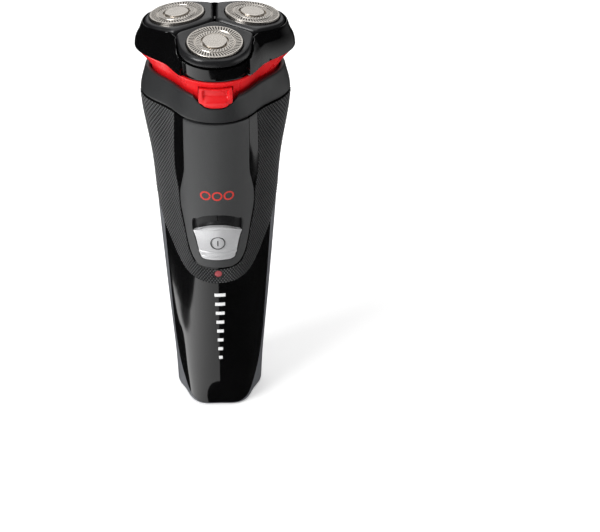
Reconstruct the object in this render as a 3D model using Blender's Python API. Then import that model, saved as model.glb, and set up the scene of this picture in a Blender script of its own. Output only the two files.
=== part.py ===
"""Three-headed rotary electric shaver, as an assembly of separate pieces.

The shaver stands upright on its flat base: +Z is up, the switch faces -Y and X is to the right.
All sizes below are millimetres; a mesh is turned into metres when it is made.
Round the body an angle runs from the front (0) through the right side (90) to the back (180).
"""

import functools
import math

import bmesh
import bpy
from mathutils import Matrix, Vector

MM = 0.001
GAP = 0.3  # room left between two pieces that touch on the real shaver

# ---------------------------------------------------------------- overall sizes
HANDLE_H = 133.3  # base to the seam under the collar
COLLAR_H = 10.5
NECK_RISE = 6.7  # red neck above the collar rim
HEAD_RISE = 11.2  # neck top to the middle of the three caps
CAP_RING_R = 15.85  # head axis to each cap's centre
CAP_TILT = 7.0  # each cap leans outwards, degrees

SEAM = HANDLE_H
COLLAR_TOP = SEAM + COLLAR_H
NECK_TOP = COLLAR_TOP + NECK_RISE
HEAD_BOTTOM = NECK_TOP + GAP
CAP_PLANE = NECK_TOP + HEAD_RISE + GAP

# Distances from the axis to the skin at every 30 degrees, from the front round to the back.
# The first number is the share of the handle's height at which the section lies.
SECTIONS = (
    (0.000, (15.2, 16.6, 15.0, 16.4, 16.9, 15.2, 14.4)),
    (0.116, (17.7, 17.6, 16.2, 17.2, 18.0, 16.8, 16.4)),
    (0.340, (19.6, 18.4, 16.9, 19.2, 20.6, 19.2, 18.6)),
    (0.600, (21.5, 19.5, 17.7, 21.4, 22.8, 20.8, 20.0)),
    (0.790, (22.6, 20.9, 19.0, 23.0, 24.4, 21.9, 21.0)),
)


def round_ring(*shares):
    """A section of the wide upper part, as shares of the radius of the ring of caps, so that it grows with it."""
    return tuple(CAP_RING_R * share for share in shares)


SEAM_SECTION = round_ring(1.5237, 1.4227, 1.3155, 1.6814, 1.7256, 1.5174, 1.4290)
RIM_SECTION = round_ring(1.5931, 1.4164, 1.2965, 1.5552, 1.6435, 1.4921, 1.4290)  # at the collar's rim
HEAD_BOTTOM_SECTION = round_ring(1.6372, 1.5174, 1.3344, 1.7571, 1.8517, 1.5868, 1.4732)
HEAD_TOP_SECTION = round_ring(1.6877, 1.4984, 1.2461, 1.6057, 1.7319, 1.4227, 1.2776)

# ---------------------------------------------------------------- handle
WALL = 2.6
SHELL_GAP = 0.45  # between the front shell and the rear shell
FRONT_WALL = 3.0
POCKET = 1.9  # depth of the pockets that hold the panel and the grip
SKIN_T = 1.4  # thickness of the panel and the grip
RING_STEPS = 36
FRONT_EDGE = ((1.2, 27.0), (2.6, 42.0), (5.5, 56.0), (10.0, 67.0), (17.0, 77.0), (27.0, 83.0), (40.0, 84.0))

# Panel: half-width against distance below the seam.
PANEL_EDGE = (
    (0.5, 11.8),
    (12.0, 11.9),
    (23.0, 12.0),
    (29.0, 12.9),
    (34.0, 13.6),
    (40.0, 13.5),
    (47.0, 12.4),
    (55.0, 11.1),
    (60.0, 9.8),
    (62.6, 7.8),
    (63.6, 5.2),
)
# Grip: inner half-width, its distance below the seam, outer angle, its distance below the seam.
GRIP_EDGE = (
    (15.0, 0.5, 112.0, 0.5),
    (15.4, 13.0, 112.0, 13.0),
    (15.3, 25.0, 111.0, 26.0),
    (14.8, 34.0, 105.0, 38.0),
    (14.5, 42.5, 90.0, 48.0),
    (13.3, 50.0, 81.0, 55.0),
    (12.1, 57.5, 69.0, 61.5),
    (10.0, 63.2, 52.0, 67.6),
    (5.5, 65.0, 26.0, 70.4),
    (0.0, 65.3, 0.0, 70.7),
)

# ---------------------------------------------------------------- switch, lamp, inlet
SWITCH_TRAVEL = 4.0
SLIDER_TOP_DROP = 44.3  # slider's top edge below the seam
SLIDER_H = 15.1
SLIDER_TOP_W = 7.2
SLIDER_WIDE_W = 8.9
SLIDER_WIDE_DROP = 2.8  # below its own top edge
SLIDER_BOTTOM_W = 6.3
SLIDER_PROUD = 0.5
CARRIER_W = 4.6
CARRIER_H = 6.0
CARRIER_NECK_W = 2.0
CARRIER_T = 3.2
CARRIER_SWEEP = 1.8  # its wings follow the shell's inner face
LAMP_DROP = 66.9 - 0.5
LAMP_R = 1.9
INLET_Y = 6.8
INLET_W = 4.3
INLET_D = 2.4
INLET_DEPTH = 8.5
INLET_PIN_R = 0.7
INLET_PIN_SPACING = 4.0
FLOOR = 2.0

# ---------------------------------------------------------------- power pack
CELL_R = 7.1
CELL_L = 50.0
CELL_Y = 4.0
CELL_BOTTOM = 23.2
TAB_T = 0.4
SHELF_T = 1.5
CRADLE_T = 1.4
CRADLE_W = 8.6
BOARD_T = 1.2
BOARD_W = 10.5

# ---------------------------------------------------------------- drive train
MOTOR_R = 10.5
MOTOR_L = 26.0
MOTOR_TOP_DROP = 12.0  # motor's top below the seam
BRACKET_T = 2.0
SHAFT_R = 1.0
DECK_T = 1.8
GEAR_T = 3.2
PINION_TEETH = 16
GEAR_TEETH = 14
TOOTH_DEPTH = 1.1
SPINDLE_R = 1.7
SPINDLE_TIP_R = 1.2
SPINDLE_REACH = 1.0  # how far the tip enters the cutter

# ---------------------------------------------------------------- neck, button, hinge
COLLAR_WALL = 2.0
NECK_WALL = 1.7
CHAMBER_FLOOR_T = 1.6
BUTTON_W = 5.9
BUTTON_H = 7.8
BUTTON_DROP = 2.7  # its top edge below the head
BUTTON_TIP_W = 3.9
BUTTON_T = 1.7
NOTCH_FLARE = 2.2  # how far the collar's notch widens towards the rim, each side
BUTTON_TRAVEL = 1.2
HINGE_R = 1.6
PIN_R = 0.7
HINGE_OUT = 1.3  # hinge axis behind the head's bottom rim
KNUCKLE_W = 3.8
HINGE_W = 7.4

# ---------------------------------------------------------------- shaving head
HEAD_WALL = 1.8
HEAD_DECK_T = 1.3
CAP_R = 10.0
CAP_FLANGE_R = CAP_R + 0.7
CAP_H = 3.0
CAP_TOP_T = 0.9
CAP_DISC_R = CAP_R - 5.6
FRAME_R = CAP_R + 2.7  # sideways
FRAME_OUT = CAP_R + 1.9  # away from the head's axis
FRAME_H = 3.6
FRAME_TILT_ROOM = 0.9  # under a frame, so that it can tilt by 3 degrees
FRAME_GAP = 1.2  # open line between two frames
FRAME_CORNER = 13.4
CUTTER_R = CAP_R - 1.5
BLADE_W = 2.3
BLADES = 9
HUB_R = 3.0
HUB_BOTTOM = 8.6  # hub's lower end below the cap plane, along the cap's axis
SOCKET_R = 1.9
SOCKET_DEPTH = 2.6
PLATE_T = 1.2
KNOB_R = 5.0

GEAR_RING_R = CAP_RING_R - (HUB_BOTTOM - SPINDLE_REACH) * math.sin(math.radians(CAP_TILT))
CAP_AZIMUTHS = (0.0, 120.0, 240.0)

FINISHES = {
    "satin_grey": ((0.20, 0.21, 0.24), 0.40, 0.0),
    "gloss_black": ((0.010, 0.010, 0.011), 0.08, 0.0),
    "panel_grey": ((0.045, 0.046, 0.048), 0.42, 0.0),
    "rubber": ((0.030, 0.031, 0.032), 0.75, 0.0),
    "matte_black": ((0.035, 0.036, 0.037), 0.55, 0.0),
    "red": ((0.70, 0.010, 0.014), 0.32, 0.0),
    "silver": ((0.72, 0.72, 0.73), 0.35, 0.6),
    "steel": ((0.62, 0.60, 0.57), 0.28, 1.0),
    "nylon": ((0.75, 0.74, 0.70), 0.50, 0.0),
    "board": ((0.02, 0.16, 0.06), 0.45, 0.0),
    "cell": ((0.03, 0.12, 0.35), 0.40, 0.0),
    "lens": ((0.55, 0.08, 0.10), 0.15, 0.0),
    "brass": ((0.70, 0.50, 0.20), 0.35, 1.0),
}


# ---------------------------------------------------------------- scene and materials
def clear_scene():
    for item in list(bpy.data.objects):
        bpy.data.objects.remove(item, do_unlink=True)


def finish(name):
    """The Principled material of this name, made once."""
    found = bpy.data.materials.get(name)
    if found:
        return found
    colour, roughness, metallic = FINISHES[name]
    material = bpy.data.materials.new(name)
    material.use_nodes = True
    shader = material.node_tree.nodes["Principled BSDF"]
    shader.inputs["Base Color"].default_value = (*colour, 1.0)
    shader.inputs["Roughness"].default_value = roughness
    shader.inputs["Metallic"].default_value = metallic
    return material


# ---------------------------------------------------------------- skin of the body
def smooth(x, points):
    """Value at x of the smooth curve through the (x, value) points."""
    xs = [point[0] for point in points]
    ys = [point[1] for point in points]
    if x <= xs[0]:
        return ys[0]
    if x >= xs[-1]:
        return ys[-1]
    slopes = []
    for i in range(len(xs)):
        low, high = max(i - 1, 0), min(i + 1, len(xs) - 1)
        slopes.append((ys[high] - ys[low]) / (xs[high] - xs[low]))
    i = max(k for k in range(len(xs) - 1) if xs[k] <= x)
    width = xs[i + 1] - xs[i]
    t = (x - xs[i]) / width
    lift = (2 * t**3 - 3 * t**2 + 1) * ys[i] + (3 * t**2 - 2 * t**3) * ys[i + 1]
    bend = (t**3 - 2 * t**2 + t) * slopes[i] + (t**3 - t**2) * slopes[i + 1]
    return lift + bend * width


def section_at(z):
    """The skin distances at a height of the handle or the collar."""
    stations = [(share * HANDLE_H, sizes) for share, sizes in SECTIONS]
    stations += [(SEAM, SEAM_SECTION), (COLLAR_TOP, RIM_SECTION)]
    return tuple(smooth(z, [(height, sizes[k]) for height, sizes in stations]) for k in range(7))


@functools.cache
def waves(section):
    """Heights of the cosine waves whose sum passes the section's distances."""
    last = len(section) - 1
    ends = [0.5 if k in (0, last) else 1.0 for k in range(last + 1)]
    return [
        2 / last * ends[k]
        * sum(ends[j] * size * math.cos(math.pi * j * k / last) for j, size in enumerate(section))
        for k in range(last + 1)
    ]


def reach(angle, section):
    """Distance from the axis to the rounded outline through the section's distances."""
    turn = math.radians(angle)
    return sum(height * math.cos(k * turn) for k, height in enumerate(waves(tuple(section))))


def polar(angle, radius, z):
    turn = math.radians(angle)
    return Vector((radius * math.sin(turn), -radius * math.cos(turn), z))


def skin(angle, z, inset=0.0):
    return polar(angle, reach(angle, section_at(z)) - inset, z)


def angle_at(x, z):
    """The angle at which the skin is x to the side of the middle, on the front half."""
    low, high = 0.0, 80.0
    for _ in range(30):
        middle = (low + high) / 2
        if skin(middle, z).x < abs(x):
            low = middle
        else:
            high = middle
    return math.copysign(low, x)


def ring(section, z, inset=0.0, steps=RING_STEPS):
    turns = [360.0 * k / steps for k in range(steps)]
    return [polar(turn, reach(turn, section) - inset, z) for turn in turns]


def skin_ring(z, inset=0.0):
    return ring(section_at(z), z, inset)


# ---------------------------------------------------------------- mesh makers
def make(name, points, faces, material, place=None):
    """A closed mesh object, in metres, whose faces point outwards."""
    mesh = bpy.data.meshes.new(name)
    shape = bmesh.new()
    made = [shape.verts.new(Vector(point) * MM) for point in points]
    for face in faces:
        shape.faces.new([made[k] for k in face])
    bmesh.ops.recalc_face_normals(shape, faces=shape.faces)
    shape.to_mesh(mesh)
    shape.free()
    item = bpy.data.objects.new(name, mesh)
    bpy.context.scene.collection.objects.link(item)
    item.data.materials.append(finish(material))
    if place is not None:
        item.matrix_world = place
    return item


def loft(name, loops, material, closed=False, place=None):
    """A skin over rings of equal length: capped at both ends, or joined end to start when closed."""
    steps = len(loops[0])
    points = [point for loop in loops for point in loop]
    faces = []
    spans = len(loops) if closed else len(loops) - 1
    for row in range(spans):
        base, above = row * steps, (row + 1) % len(loops) * steps
        for k in range(steps):
            after = (k + 1) % steps
            faces.append((base + k, base + after, above + after, above + k))
    if not closed:
        faces.append(tuple(reversed(range(steps))))
        faces.append(tuple(range(len(points) - steps, len(points))))
    return make(name, points, faces, material, place)


def slab(name, outer, inner, material, place=None):
    """A plate between two grids of points with the same rows and columns."""
    rows, columns = len(outer), len(outer[0])
    points = [point for row in outer for point in row] + [point for row in inner for point in row]
    half = rows * columns
    faces = []
    for r in range(rows - 1):
        for c in range(columns - 1):
            k = r * columns + c
            face = (k, k + 1, k + columns + 1, k + columns)
            faces.append(face)
            faces.append(tuple(half + corner for corner in reversed(face)))
    border = list(range(columns))
    border += [r * columns + columns - 1 for r in range(1, rows)]
    border += [(rows - 1) * columns + c for c in range(columns - 2, -1, -1)]
    border += [r * columns for r in range(rows - 2, 0, -1)]
    for k, here in enumerate(border):
        after = border[(k + 1) % len(border)]
        faces.append((here, half + here, half + after, after))
    return make(name, points, faces, material, place)


def turned(name, profile, material, steps=24, place=None):
    """A body turned round Z. The profile runs from the axis, or closes on itself."""
    on_axis = profile[0][0] == 0 and profile[-1][0] == 0
    rings = profile[1:-1] if on_axis else profile
    turns = [2 * math.pi * k / steps for k in range(steps)]
    loops = [[Vector((r * math.cos(t), r * math.sin(t), z)) for t in turns] for r, z in rings]
    return loft(name, loops, material, closed=not on_axis, place=place)


def rod(name, radius, low, high, material, steps=16, place=None):
    profile = ((0, low), (radius, low), (radius, high), (0, high))
    return turned(name, profile, material, steps, place)


def prism(name, outline, low, high, material, place=None):
    """An outline in X and Y, drawn up from low to high."""
    loops = [[Vector((x, y, z)) for x, y in outline] for z in (low, high)]
    return loft(name, loops, material, place=place)


def block(name, low, high, material):
    outline = ((low[0], low[1]), (high[0], low[1]), (high[0], high[1]), (low[0], high[1]))
    return prism(name, outline, low[2], high[2], material)


def at(x, y, z):
    return Matrix.Translation(Vector((x, y, z)) * MM)


FACING_FRONT = Matrix.Rotation(math.radians(90), 4, "X")  # a body's +Z points to the front
FACING_BACK = Matrix.Rotation(math.radians(-90), 4, "X")
ALONG_X = Matrix.Rotation(math.radians(90), 4, "Y")


def boolean(item, tool, operation):
    step = item.modifiers.new(operation.lower(), "BOOLEAN")
    step.operation = operation
    step.object = tool
    step.solver = "EXACT"
    tool.hide_render = True
    tool.display_type = "WIRE"
    return item


def cut(item, *tools):
    for tool in tools:
        boolean(item, tool, "DIFFERENCE")
    return item


def join(item, *tools):
    for tool in tools:
        boolean(item, tool, "UNION")
    return item


def ride_on(items, parent):
    """Parents pieces to an empty without moving them."""
    for item in items:
        item.parent = parent
        item.matrix_parent_inverse = parent.matrix_world.inverted()


def joint_point(name, place):
    empty = bpy.data.objects.new(name, None)
    bpy.context.scene.collection.objects.link(empty)
    empty.matrix_world = place
    return empty


# ---------------------------------------------------------------- handle skins
def front_half_angle(z):
    return smooth(z, FRONT_EDGE)


def front_grid(inset, margin=0.0, columns=12):
    """Rows of skin points over the front shell's area, with a margin added all round."""
    heights = [z for z, _ in FRONT_EDGE[:-1]] + [HANDLE_H * share for share in (0.34, 0.5, 0.62, 0.74, 0.86)]
    heights = [heights[0] - margin] + heights[1:] + [SEAM - GAP + 2 * margin]
    rows = []
    for z in heights:
        half = front_half_angle(z + margin) + margin / math.radians(section_at(z)[3])
        rows.append([skin(half * (2 * c / columns - 1), z, inset) for c in range(columns + 1)])
    return rows


def panel_grid(inset, margin=0.0, columns=8):
    heights = [(SEAM - drop, half) for drop, half in PANEL_EDGE]
    heights[0] = (heights[0][0] + margin, heights[0][1])
    heights[-1] = (heights[-1][0] - margin, heights[-1][1])
    rows = []
    for z, half in heights:
        edge = angle_at(half + margin, z)
        rows.append([skin(edge * (2 * c / columns - 1), z, inset) for c in range(columns + 1)])
    return rows


def grip_grid(inset, margin=0.0, columns=6):
    """Rows across the U-shaped grip, from its top left end round the bottom to its top right end."""
    rows = []
    count = len(GRIP_EDGE)
    for k in range(2 * count - 1):
        side = -1 if k < count else 1
        inner_x, inner_drop, outer_angle, outer_drop = GRIP_EDGE[min(k, 2 * count - 2 - k)]
        inner = Vector((angle_at(inner_x, SEAM - inner_drop), SEAM - inner_drop))
        outer = Vector((outer_angle, SEAM - outer_drop))
        degree = math.radians(1) * section_at(SEAM - inner_drop)[2]
        across = Vector(((outer.x - inner.x) * degree, outer.y - inner.y)).normalized() * margin
        across.x /= degree
        inner -= across
        outer += across
        if k in (0, 2 * count - 2):
            inner.y += margin
            outer.y += margin
        row = []
        for c in range(columns + 1):
            spot = inner.lerp(outer, c / columns)
            row.append(skin(side * spot.x, spot.y, inset))
        rows.append(row)
    return rows


def slider_outline(margin=0.0, travel=0.0):
    """Half outline of the switch's slider, as (half-width, height), from its bottom to its top."""
    top = SEAM - SLIDER_TOP_DROP
    bottom = top - SLIDER_H
    return (
        (SLIDER_BOTTOM_W - 1.6 + margin, bottom - margin),
        (SLIDER_BOTTOM_W + margin, bottom + 1.2 - margin),
        (SLIDER_BOTTOM_W + 0.6 + margin, bottom + 3.0),
        ((SLIDER_BOTTOM_W + SLIDER_WIDE_W) / 2 + 0.5 + margin, (top + bottom) / 2),
        (SLIDER_WIDE_W + margin, top - SLIDER_WIDE_DROP),
        (SLIDER_WIDE_W + margin, top - SLIDER_WIDE_DROP + travel + 0.1),
        (SLIDER_WIDE_W - 0.4 + margin, top - 1.3 + travel + margin),
        (SLIDER_TOP_W + margin, top + travel + margin),
    )


def slider_grid(inset, margin=0.0, travel=0.0, columns=8):
    rows = []
    for half, z in slider_outline(margin, travel):
        edge = angle_at(half, z)
        rows.append([skin(edge * (2 * c / columns - 1), z, inset) for c in range(columns + 1)])
    return rows


def make_rear_shell():
    heights = [5.0] + [HANDLE_H * share for share in (0.116, 0.22, 0.34, 0.5, 0.62, 0.74, 0.87)]
    heights.append(SEAM - GAP)
    loops = [skin_ring(0.0, 1.0), skin_ring(0.9)]
    loops += [skin_ring(z) for z in heights]
    loops += [skin_ring(z, WALL) for z in reversed(heights)]
    loops.append(skin_ring(FLOOR, WALL))
    shell = loft("rear_shell", loops, "satin_grey")
    window = slab("front_window_cutter", front_grid(-3, SHELL_GAP), front_grid(FRONT_WALL + 3, SHELL_GAP),
                  "satin_grey")
    pocket = slab("grip_rear_pocket_cutter", grip_grid(-2, GAP), grip_grid(POCKET, GAP), "satin_grey")
    inlet = block(
        "inlet_hole_cutter",
        (-INLET_W, INLET_Y - INLET_D, -1),
        (INLET_W, INLET_Y + INLET_D, FLOOR + 1),
        "satin_grey",
    )
    cut(shell, window, pocket, inlet)
    for spot in screw_spots():
        cut(shell, rod("screw_bore_cutter", 1.5, -12, 12, "satin_grey", 12, spot))
        cut(shell, rod("screw_head_cutter", 2.5, -0.9, 12, "satin_grey", 12, spot))
    return shell


def screw_spots():
    """Where the two rear case screws' heads sit, with +Z out of the back."""
    spots = []
    for z in (15.0, SEAM - 49.0):
        back = section_at(z)[6]
        spots.append(at(0, back, z) @ FACING_BACK)
    return spots


def make_case_screws():
    screws = []
    for name, spot in zip(("case_screw_lower", "case_screw_upper"), screw_spots()):
        profile = ((0, -8.5), (1.2, -8.5), (1.2, -0.6), (2.2, -0.6), (2.2, 0.0), (1.9, 0.3), (0, 0.3))
        screws.append(turned(name, profile, "steel", 16, spot))
    return screws


def make_front_shell():
    shell = slab("front_shell", front_grid(0.0), front_grid(FRONT_WALL), "gloss_black")
    cut(shell, slab("panel_pocket_cutter", panel_grid(-2, GAP), panel_grid(POCKET, GAP), "gloss_black"))
    cut(shell, slab("grip_pocket_cutter", grip_grid(-2, GAP), grip_grid(POCKET, GAP), "gloss_black"))
    middle = carrier_middle()
    cut(
        shell,
        block(
            "switch_slot_cutter",
            (-CARRIER_NECK_W - GAP, -40, middle - CARRIER_H / 2 - GAP),
            (CARRIER_NECK_W + GAP, -14, middle + CARRIER_H / 2 + SWITCH_TRAVEL + GAP),
            "gloss_black",
        ),
    )
    cut(shell, rod("lamp_hole_cutter", LAMP_R + GAP, 10, 40, "gloss_black", 16, lamp_place()))
    return shell


def make_front_panel():
    panel = slab("front_panel", panel_grid(0.0), panel_grid(SKIN_T), "panel_grey")
    window = slab(
        "slider_window_cutter",
        slider_grid(-2, 0.6, SWITCH_TRAVEL),
        slider_grid(POCKET + 1, 0.6, SWITCH_TRAVEL),
        "panel_grey",
    )
    return cut(panel, window)


def make_grip():
    grip = slab("grip_sleeve", grip_grid(-0.2), grip_grid(SKIN_T), "rubber")
    return cut(grip, rod("lamp_grip_cutter", LAMP_R + GAP, 10, 40, "rubber", 16, lamp_place()))


def lamp_place():
    return at(0, 0, SEAM - LAMP_DROP) @ FACING_FRONT


def make_lamp():
    front = section_at(SEAM - LAMP_DROP)[0]
    profile = ((0, front - 4.4), (LAMP_R, front - 4.4), (LAMP_R, front - 0.2), (LAMP_R - 0.4, front), (0, front))
    return turned("lamp_lens", profile, "lens", 16, lamp_place())


# ---------------------------------------------------------------- switch
def carrier_middle():
    return SEAM - SLIDER_TOP_DROP - SLIDER_H / 2


def make_switch():
    slider = slab("power_slider", slider_grid(-SLIDER_PROUD), slider_grid(SKIN_T - 0.05), "silver")
    middle = carrier_middle()
    front = section_at(middle)[0]
    back_of_slider = -front + SKIN_T + 0.25 + GAP
    back_of_shell = -front + FRONT_WALL + 0.8
    outline = (
        (-CARRIER_NECK_W, back_of_slider),
        (CARRIER_NECK_W, back_of_slider),
        (CARRIER_NECK_W, back_of_shell),
        (CARRIER_W, back_of_shell + CARRIER_SWEEP),
        (CARRIER_W, back_of_shell + CARRIER_T),
        (-CARRIER_W, back_of_shell + CARRIER_T),
        (-CARRIER_W, back_of_shell + CARRIER_SWEEP),
        (-CARRIER_NECK_W, back_of_shell),
    )
    low, high = middle - CARRIER_H / 2, middle + CARRIER_H / 2
    carrier = prism("slider_carrier", outline, low, high, "nylon")
    block_front = back_of_shell + CARRIER_T + GAP
    body = block(
        "switch_block",
        (-3.6, block_front, middle - 2.5),
        (3.6, board_front() - GAP, middle + 5.5),
        "matte_black",
    )
    axis = joint_point("power_slider_axis", at(0, -front, middle))
    ride_on((slider, carrier), axis)
    return slider, carrier, body


# ---------------------------------------------------------------- power pack
def cradle_face():
    return CELL_Y - CELL_R - GAP


def board_front():
    return cradle_face() - CRADLE_T - GAP - BOARD_T


def make_power_pack():
    back = cradle_face()
    low = CELL_BOTTOM - TAB_T - 2 * GAP
    high = CELL_BOTTOM + CELL_L + TAB_T + 2 * GAP
    reach_back = CELL_Y + 4.0
    top = high + 12.0
    outline = (
        (back - CRADLE_T, low - SHELF_T),
        (reach_back, low - SHELF_T),
        (reach_back, low),
        (back, low),
        (back, high),
        (reach_back, high),
        (reach_back, high + SHELF_T),
        (back, high + SHELF_T),
        (back, top),
        (back - CRADLE_T, top),
    )
    loops = [[Vector((x, y, z)) for y, z in outline] for x in (-CRADLE_W, CRADLE_W)]
    loft("battery_cradle", loops, "matte_black")
    cell = ((0, CELL_BOTTOM), (CELL_R, CELL_BOTTOM), (CELL_R, CELL_BOTTOM + CELL_L - 1.2),
            (2.6, CELL_BOTTOM + CELL_L - 1.0), (2.6, CELL_BOTTOM + CELL_L), (0, CELL_BOTTOM + CELL_L))
    turned("battery_cell", cell, "cell", 24, at(0, CELL_Y, 0))
    for name, z in (("battery_tab_lower", low + GAP), ("battery_tab_upper", high - GAP - TAB_T)):
        block(name, (-3.0, back + 1.0, z), (3.0, reach_back - 0.5, z + TAB_T), "steel")
    front = board_front()
    block("circuit_board", (-BOARD_W, front, low + 1.0), (BOARD_W, front + BOARD_T, top), "board")


def make_inlet():
    low, high = FLOOR + GAP, FLOOR + GAP + INLET_DEPTH + 1.6
    body = block(
        "charging_inlet",
        (-INLET_W - 1.6, INLET_Y - INLET_D - 1.5, low),
        (INLET_W + 1.6, INLET_Y + INLET_D + 1.5, high),
        "matte_black",
    )
    hollow = block(
        "inlet_hollow_cutter",
        (-INLET_W, INLET_Y - INLET_D, low - 1),
        (INLET_W, INLET_Y + INLET_D, low + INLET_DEPTH),
        "matte_black",
    )
    cut(body, hollow)
    for name, side in (("inlet_pin_left", -1), ("inlet_pin_right", 1)):
        spot = at(side * INLET_PIN_SPACING / 2, INLET_Y, 0)
        cut(body, rod(name + "_cutter", INLET_PIN_R + GAP, high - 3, high + 1, "matte_black", 12, spot))
        tip = low + 2.0
        profile = ((0, tip), (INLET_PIN_R - 0.2, tip), (INLET_PIN_R, tip + 0.5), (INLET_PIN_R, high + 1.5),
                   (0, high + 1.5))
        turned(name, profile, "brass", 12, spot)


# ---------------------------------------------------------------- drive train
def motor_top():
    return SEAM - MOTOR_TOP_DROP


def gear_bottom():
    return SEAM + 1.4


def toothed(name, radius, teeth, bore, low, high, material, place):
    """A spur wheel with plain teeth."""
    outline = []
    for k in range(teeth):
        for share, depth in ((-0.30, TOOTH_DEPTH), (-0.15, 0.0), (0.15, 0.0), (0.30, TOOTH_DEPTH)):
            turn = 2 * math.pi * (k + share) / teeth
            outline.append(((radius - depth) * math.cos(turn), (radius - depth) * math.sin(turn)))
    hole = [Vector((x, y, 0)).normalized() * bore for x, y in outline]
    loops = [
        [Vector((x, y, low)) for x, y in outline],
        [Vector((x, y, high)) for x, y in outline],
        [Vector((p.x, p.y, high)) for p in hole],
        [Vector((p.x, p.y, low)) for p in hole],
    ]
    return loft(name, loops, material, closed=True, place=place)


def make_motor():
    top = motor_top()
    bottom = top - MOTOR_L
    can = ((0, bottom), (MOTOR_R, bottom), (MOTOR_R, top - 0.8), (MOTOR_R - 0.8, top), (0, top))
    turned("motor_can", can, "steel", 24)
    cap = ((0, bottom - 3.3), (6.0, bottom - 3.3), (MOTOR_R - 1.0, bottom - 2.4), (MOTOR_R - 1.0, bottom - GAP),
           (0, bottom - GAP))
    turned("motor_end_cap", cap, "nylon", 24)
    low = top + 2.0
    plate = loft(
        "motor_bracket",
        [skin_ring(low, FRONT_WALL + 0.8), skin_ring(low + BRACKET_T, FRONT_WALL + 0.8)],
        "matte_black",
    )
    cut(plate, rod("shaft_hole_cutter", 3.2, low - 1, low + BRACKET_T + 1, "matte_black", 16))
    for name, x in (("motor_screw_left", -7.0), ("motor_screw_right", 7.0)):
        head = low + BRACKET_T + GAP
        cut(plate, rod(name + "_cutter", 1.3, low - 1, head + 1, "matte_black", 12, at(x, 0, 0)))
        profile = ((0, top + GAP), (1.0, top + GAP), (1.0, head), (1.9, head), (1.9, head + 0.9), (0, head + 0.9))
        turned(name, profile, "steel", 12, at(x, 0, 0))


def spindle_place(azimuth):
    spot = polar(azimuth, GEAR_RING_R, 0)
    return at(spot.x, spot.y, 0)


def gear_radii():
    """Tip radii of the pinion and of a spindle gear; their teeth stay just clear of each other."""
    module = 2 * GEAR_RING_R / (PINION_TEETH + GEAR_TEETH)
    return module * PINION_TEETH / 2 - GAP / 2, module * GEAR_TEETH / 2 - GAP / 2


def tip_top():
    return CAP_PLANE - (HUB_BOTTOM - SPINDLE_REACH) * math.cos(math.radians(CAP_TILT))


def make_drive():
    pinion_r, gear_r = gear_radii()
    low, high = gear_bottom(), gear_bottom() + GEAR_T
    shaft = rod("motor_shaft", SHAFT_R, motor_top() + GAP, high + 0.6, "steel", 16)
    pinion = toothed("drive_pinion", pinion_r, PINION_TEETH, SHAFT_R + GAP, low, high, "nylon", at(0, 0, 0))
    ride_on((shaft, pinion), joint_point("motor_axis", at(0, 0, low)))
    deck_high = low - 0.8
    deck_low = deck_high - DECK_T
    deck = loft(
        "gear_deck",
        [skin_ring(deck_low, FRONT_WALL + 0.8), skin_ring(SEAM - GAP, FRONT_WALL + 0.8),
         skin_ring(deck_high, FRONT_WALL + 0.8)],
        "matte_black",
    )
    cut(deck, rod("deck_shaft_cutter", SHAFT_R + 0.5, deck_low - 1, deck_high + 1, "matte_black", 16))
    for k, azimuth in enumerate(CAP_AZIMUTHS, 1):
        spot = spindle_place(azimuth)
        cut(deck, rod(f"deck_hole_cutter_{k}", SPINDLE_TIP_R + 0.35, deck_low - 1, deck_high + 1,
                      "matte_black", 16, spot))
        gear = toothed(f"drive_gear_{k}", gear_r, GEAR_TEETH, SPINDLE_R + GAP, low, high, "nylon", spot)
        tip = tip_top()
        profile = (
            (0, deck_low - 0.6),
            (SPINDLE_TIP_R, deck_low - 0.6),
            (SPINDLE_TIP_R, deck_high + 0.3),
            (SPINDLE_R, deck_high + 0.3),
            (SPINDLE_R, tip - 2.6),
            (SPINDLE_TIP_R, tip - 2.0),
            (SPINDLE_TIP_R, tip - 0.3),
            (SPINDLE_TIP_R - 0.3, tip),
            (0, tip),
        )
        spindle = turned(f"drive_spindle_{k}", profile, "nylon", 12, spot)
        ride_on((gear, spindle), joint_point(f"spindle_axis_{k}", spot @ at(0, 0, low)))
        floor = chamber_floor()
        seal = ((SPINDLE_R + 0.35, floor + GAP), (3.9, floor + GAP), (3.6, floor + 1.3), (SPINDLE_R + 0.35, floor + 1.6))
        turned(f"spindle_seal_{k}", seal, "rubber", 16, spot)


# ---------------------------------------------------------------- collar and neck
def make_collar():
    low = SEAM + GAP
    heights = (low, SEAM + COLLAR_H * 0.35, SEAM + COLLAR_H * 0.7, COLLAR_TOP - 0.6)
    loops = [skin_ring(low, 0.4)]
    loops += [skin_ring(z) for z in heights[1:]]
    loops += [skin_ring(COLLAR_TOP, 0.5), skin_ring(COLLAR_TOP, COLLAR_WALL - 0.3)]
    loops += [skin_ring(COLLAR_TOP - 0.6, COLLAR_WALL), skin_ring(low, COLLAR_WALL)]
    collar = loft("collar_band", loops, "matte_black", closed=True)
    return cut(collar, button_tool("collar_notch_cutter", 0.5, NOTCH_FLARE))


def chamber_floor():
    return COLLAR_TOP - 0.8


def button_outline(margin=0.0):
    """The release button seen from the front, widest at the top and rounded below."""
    top = NECK_TOP - BUTTON_DROP + margin
    bottom = top - BUTTON_H - 2 * margin
    bend = COLLAR_TOP - 1.9 - margin / 2
    wide, tip = BUTTON_W + margin, BUTTON_TIP_W + margin
    return (
        (-tip * 0.5, bottom), (tip * 0.5, bottom), (tip, bottom + 0.7), (wide, bend), (wide, top),
        (-wide, top), (-wide, bend), (-tip, bottom + 0.7),
    )


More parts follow.
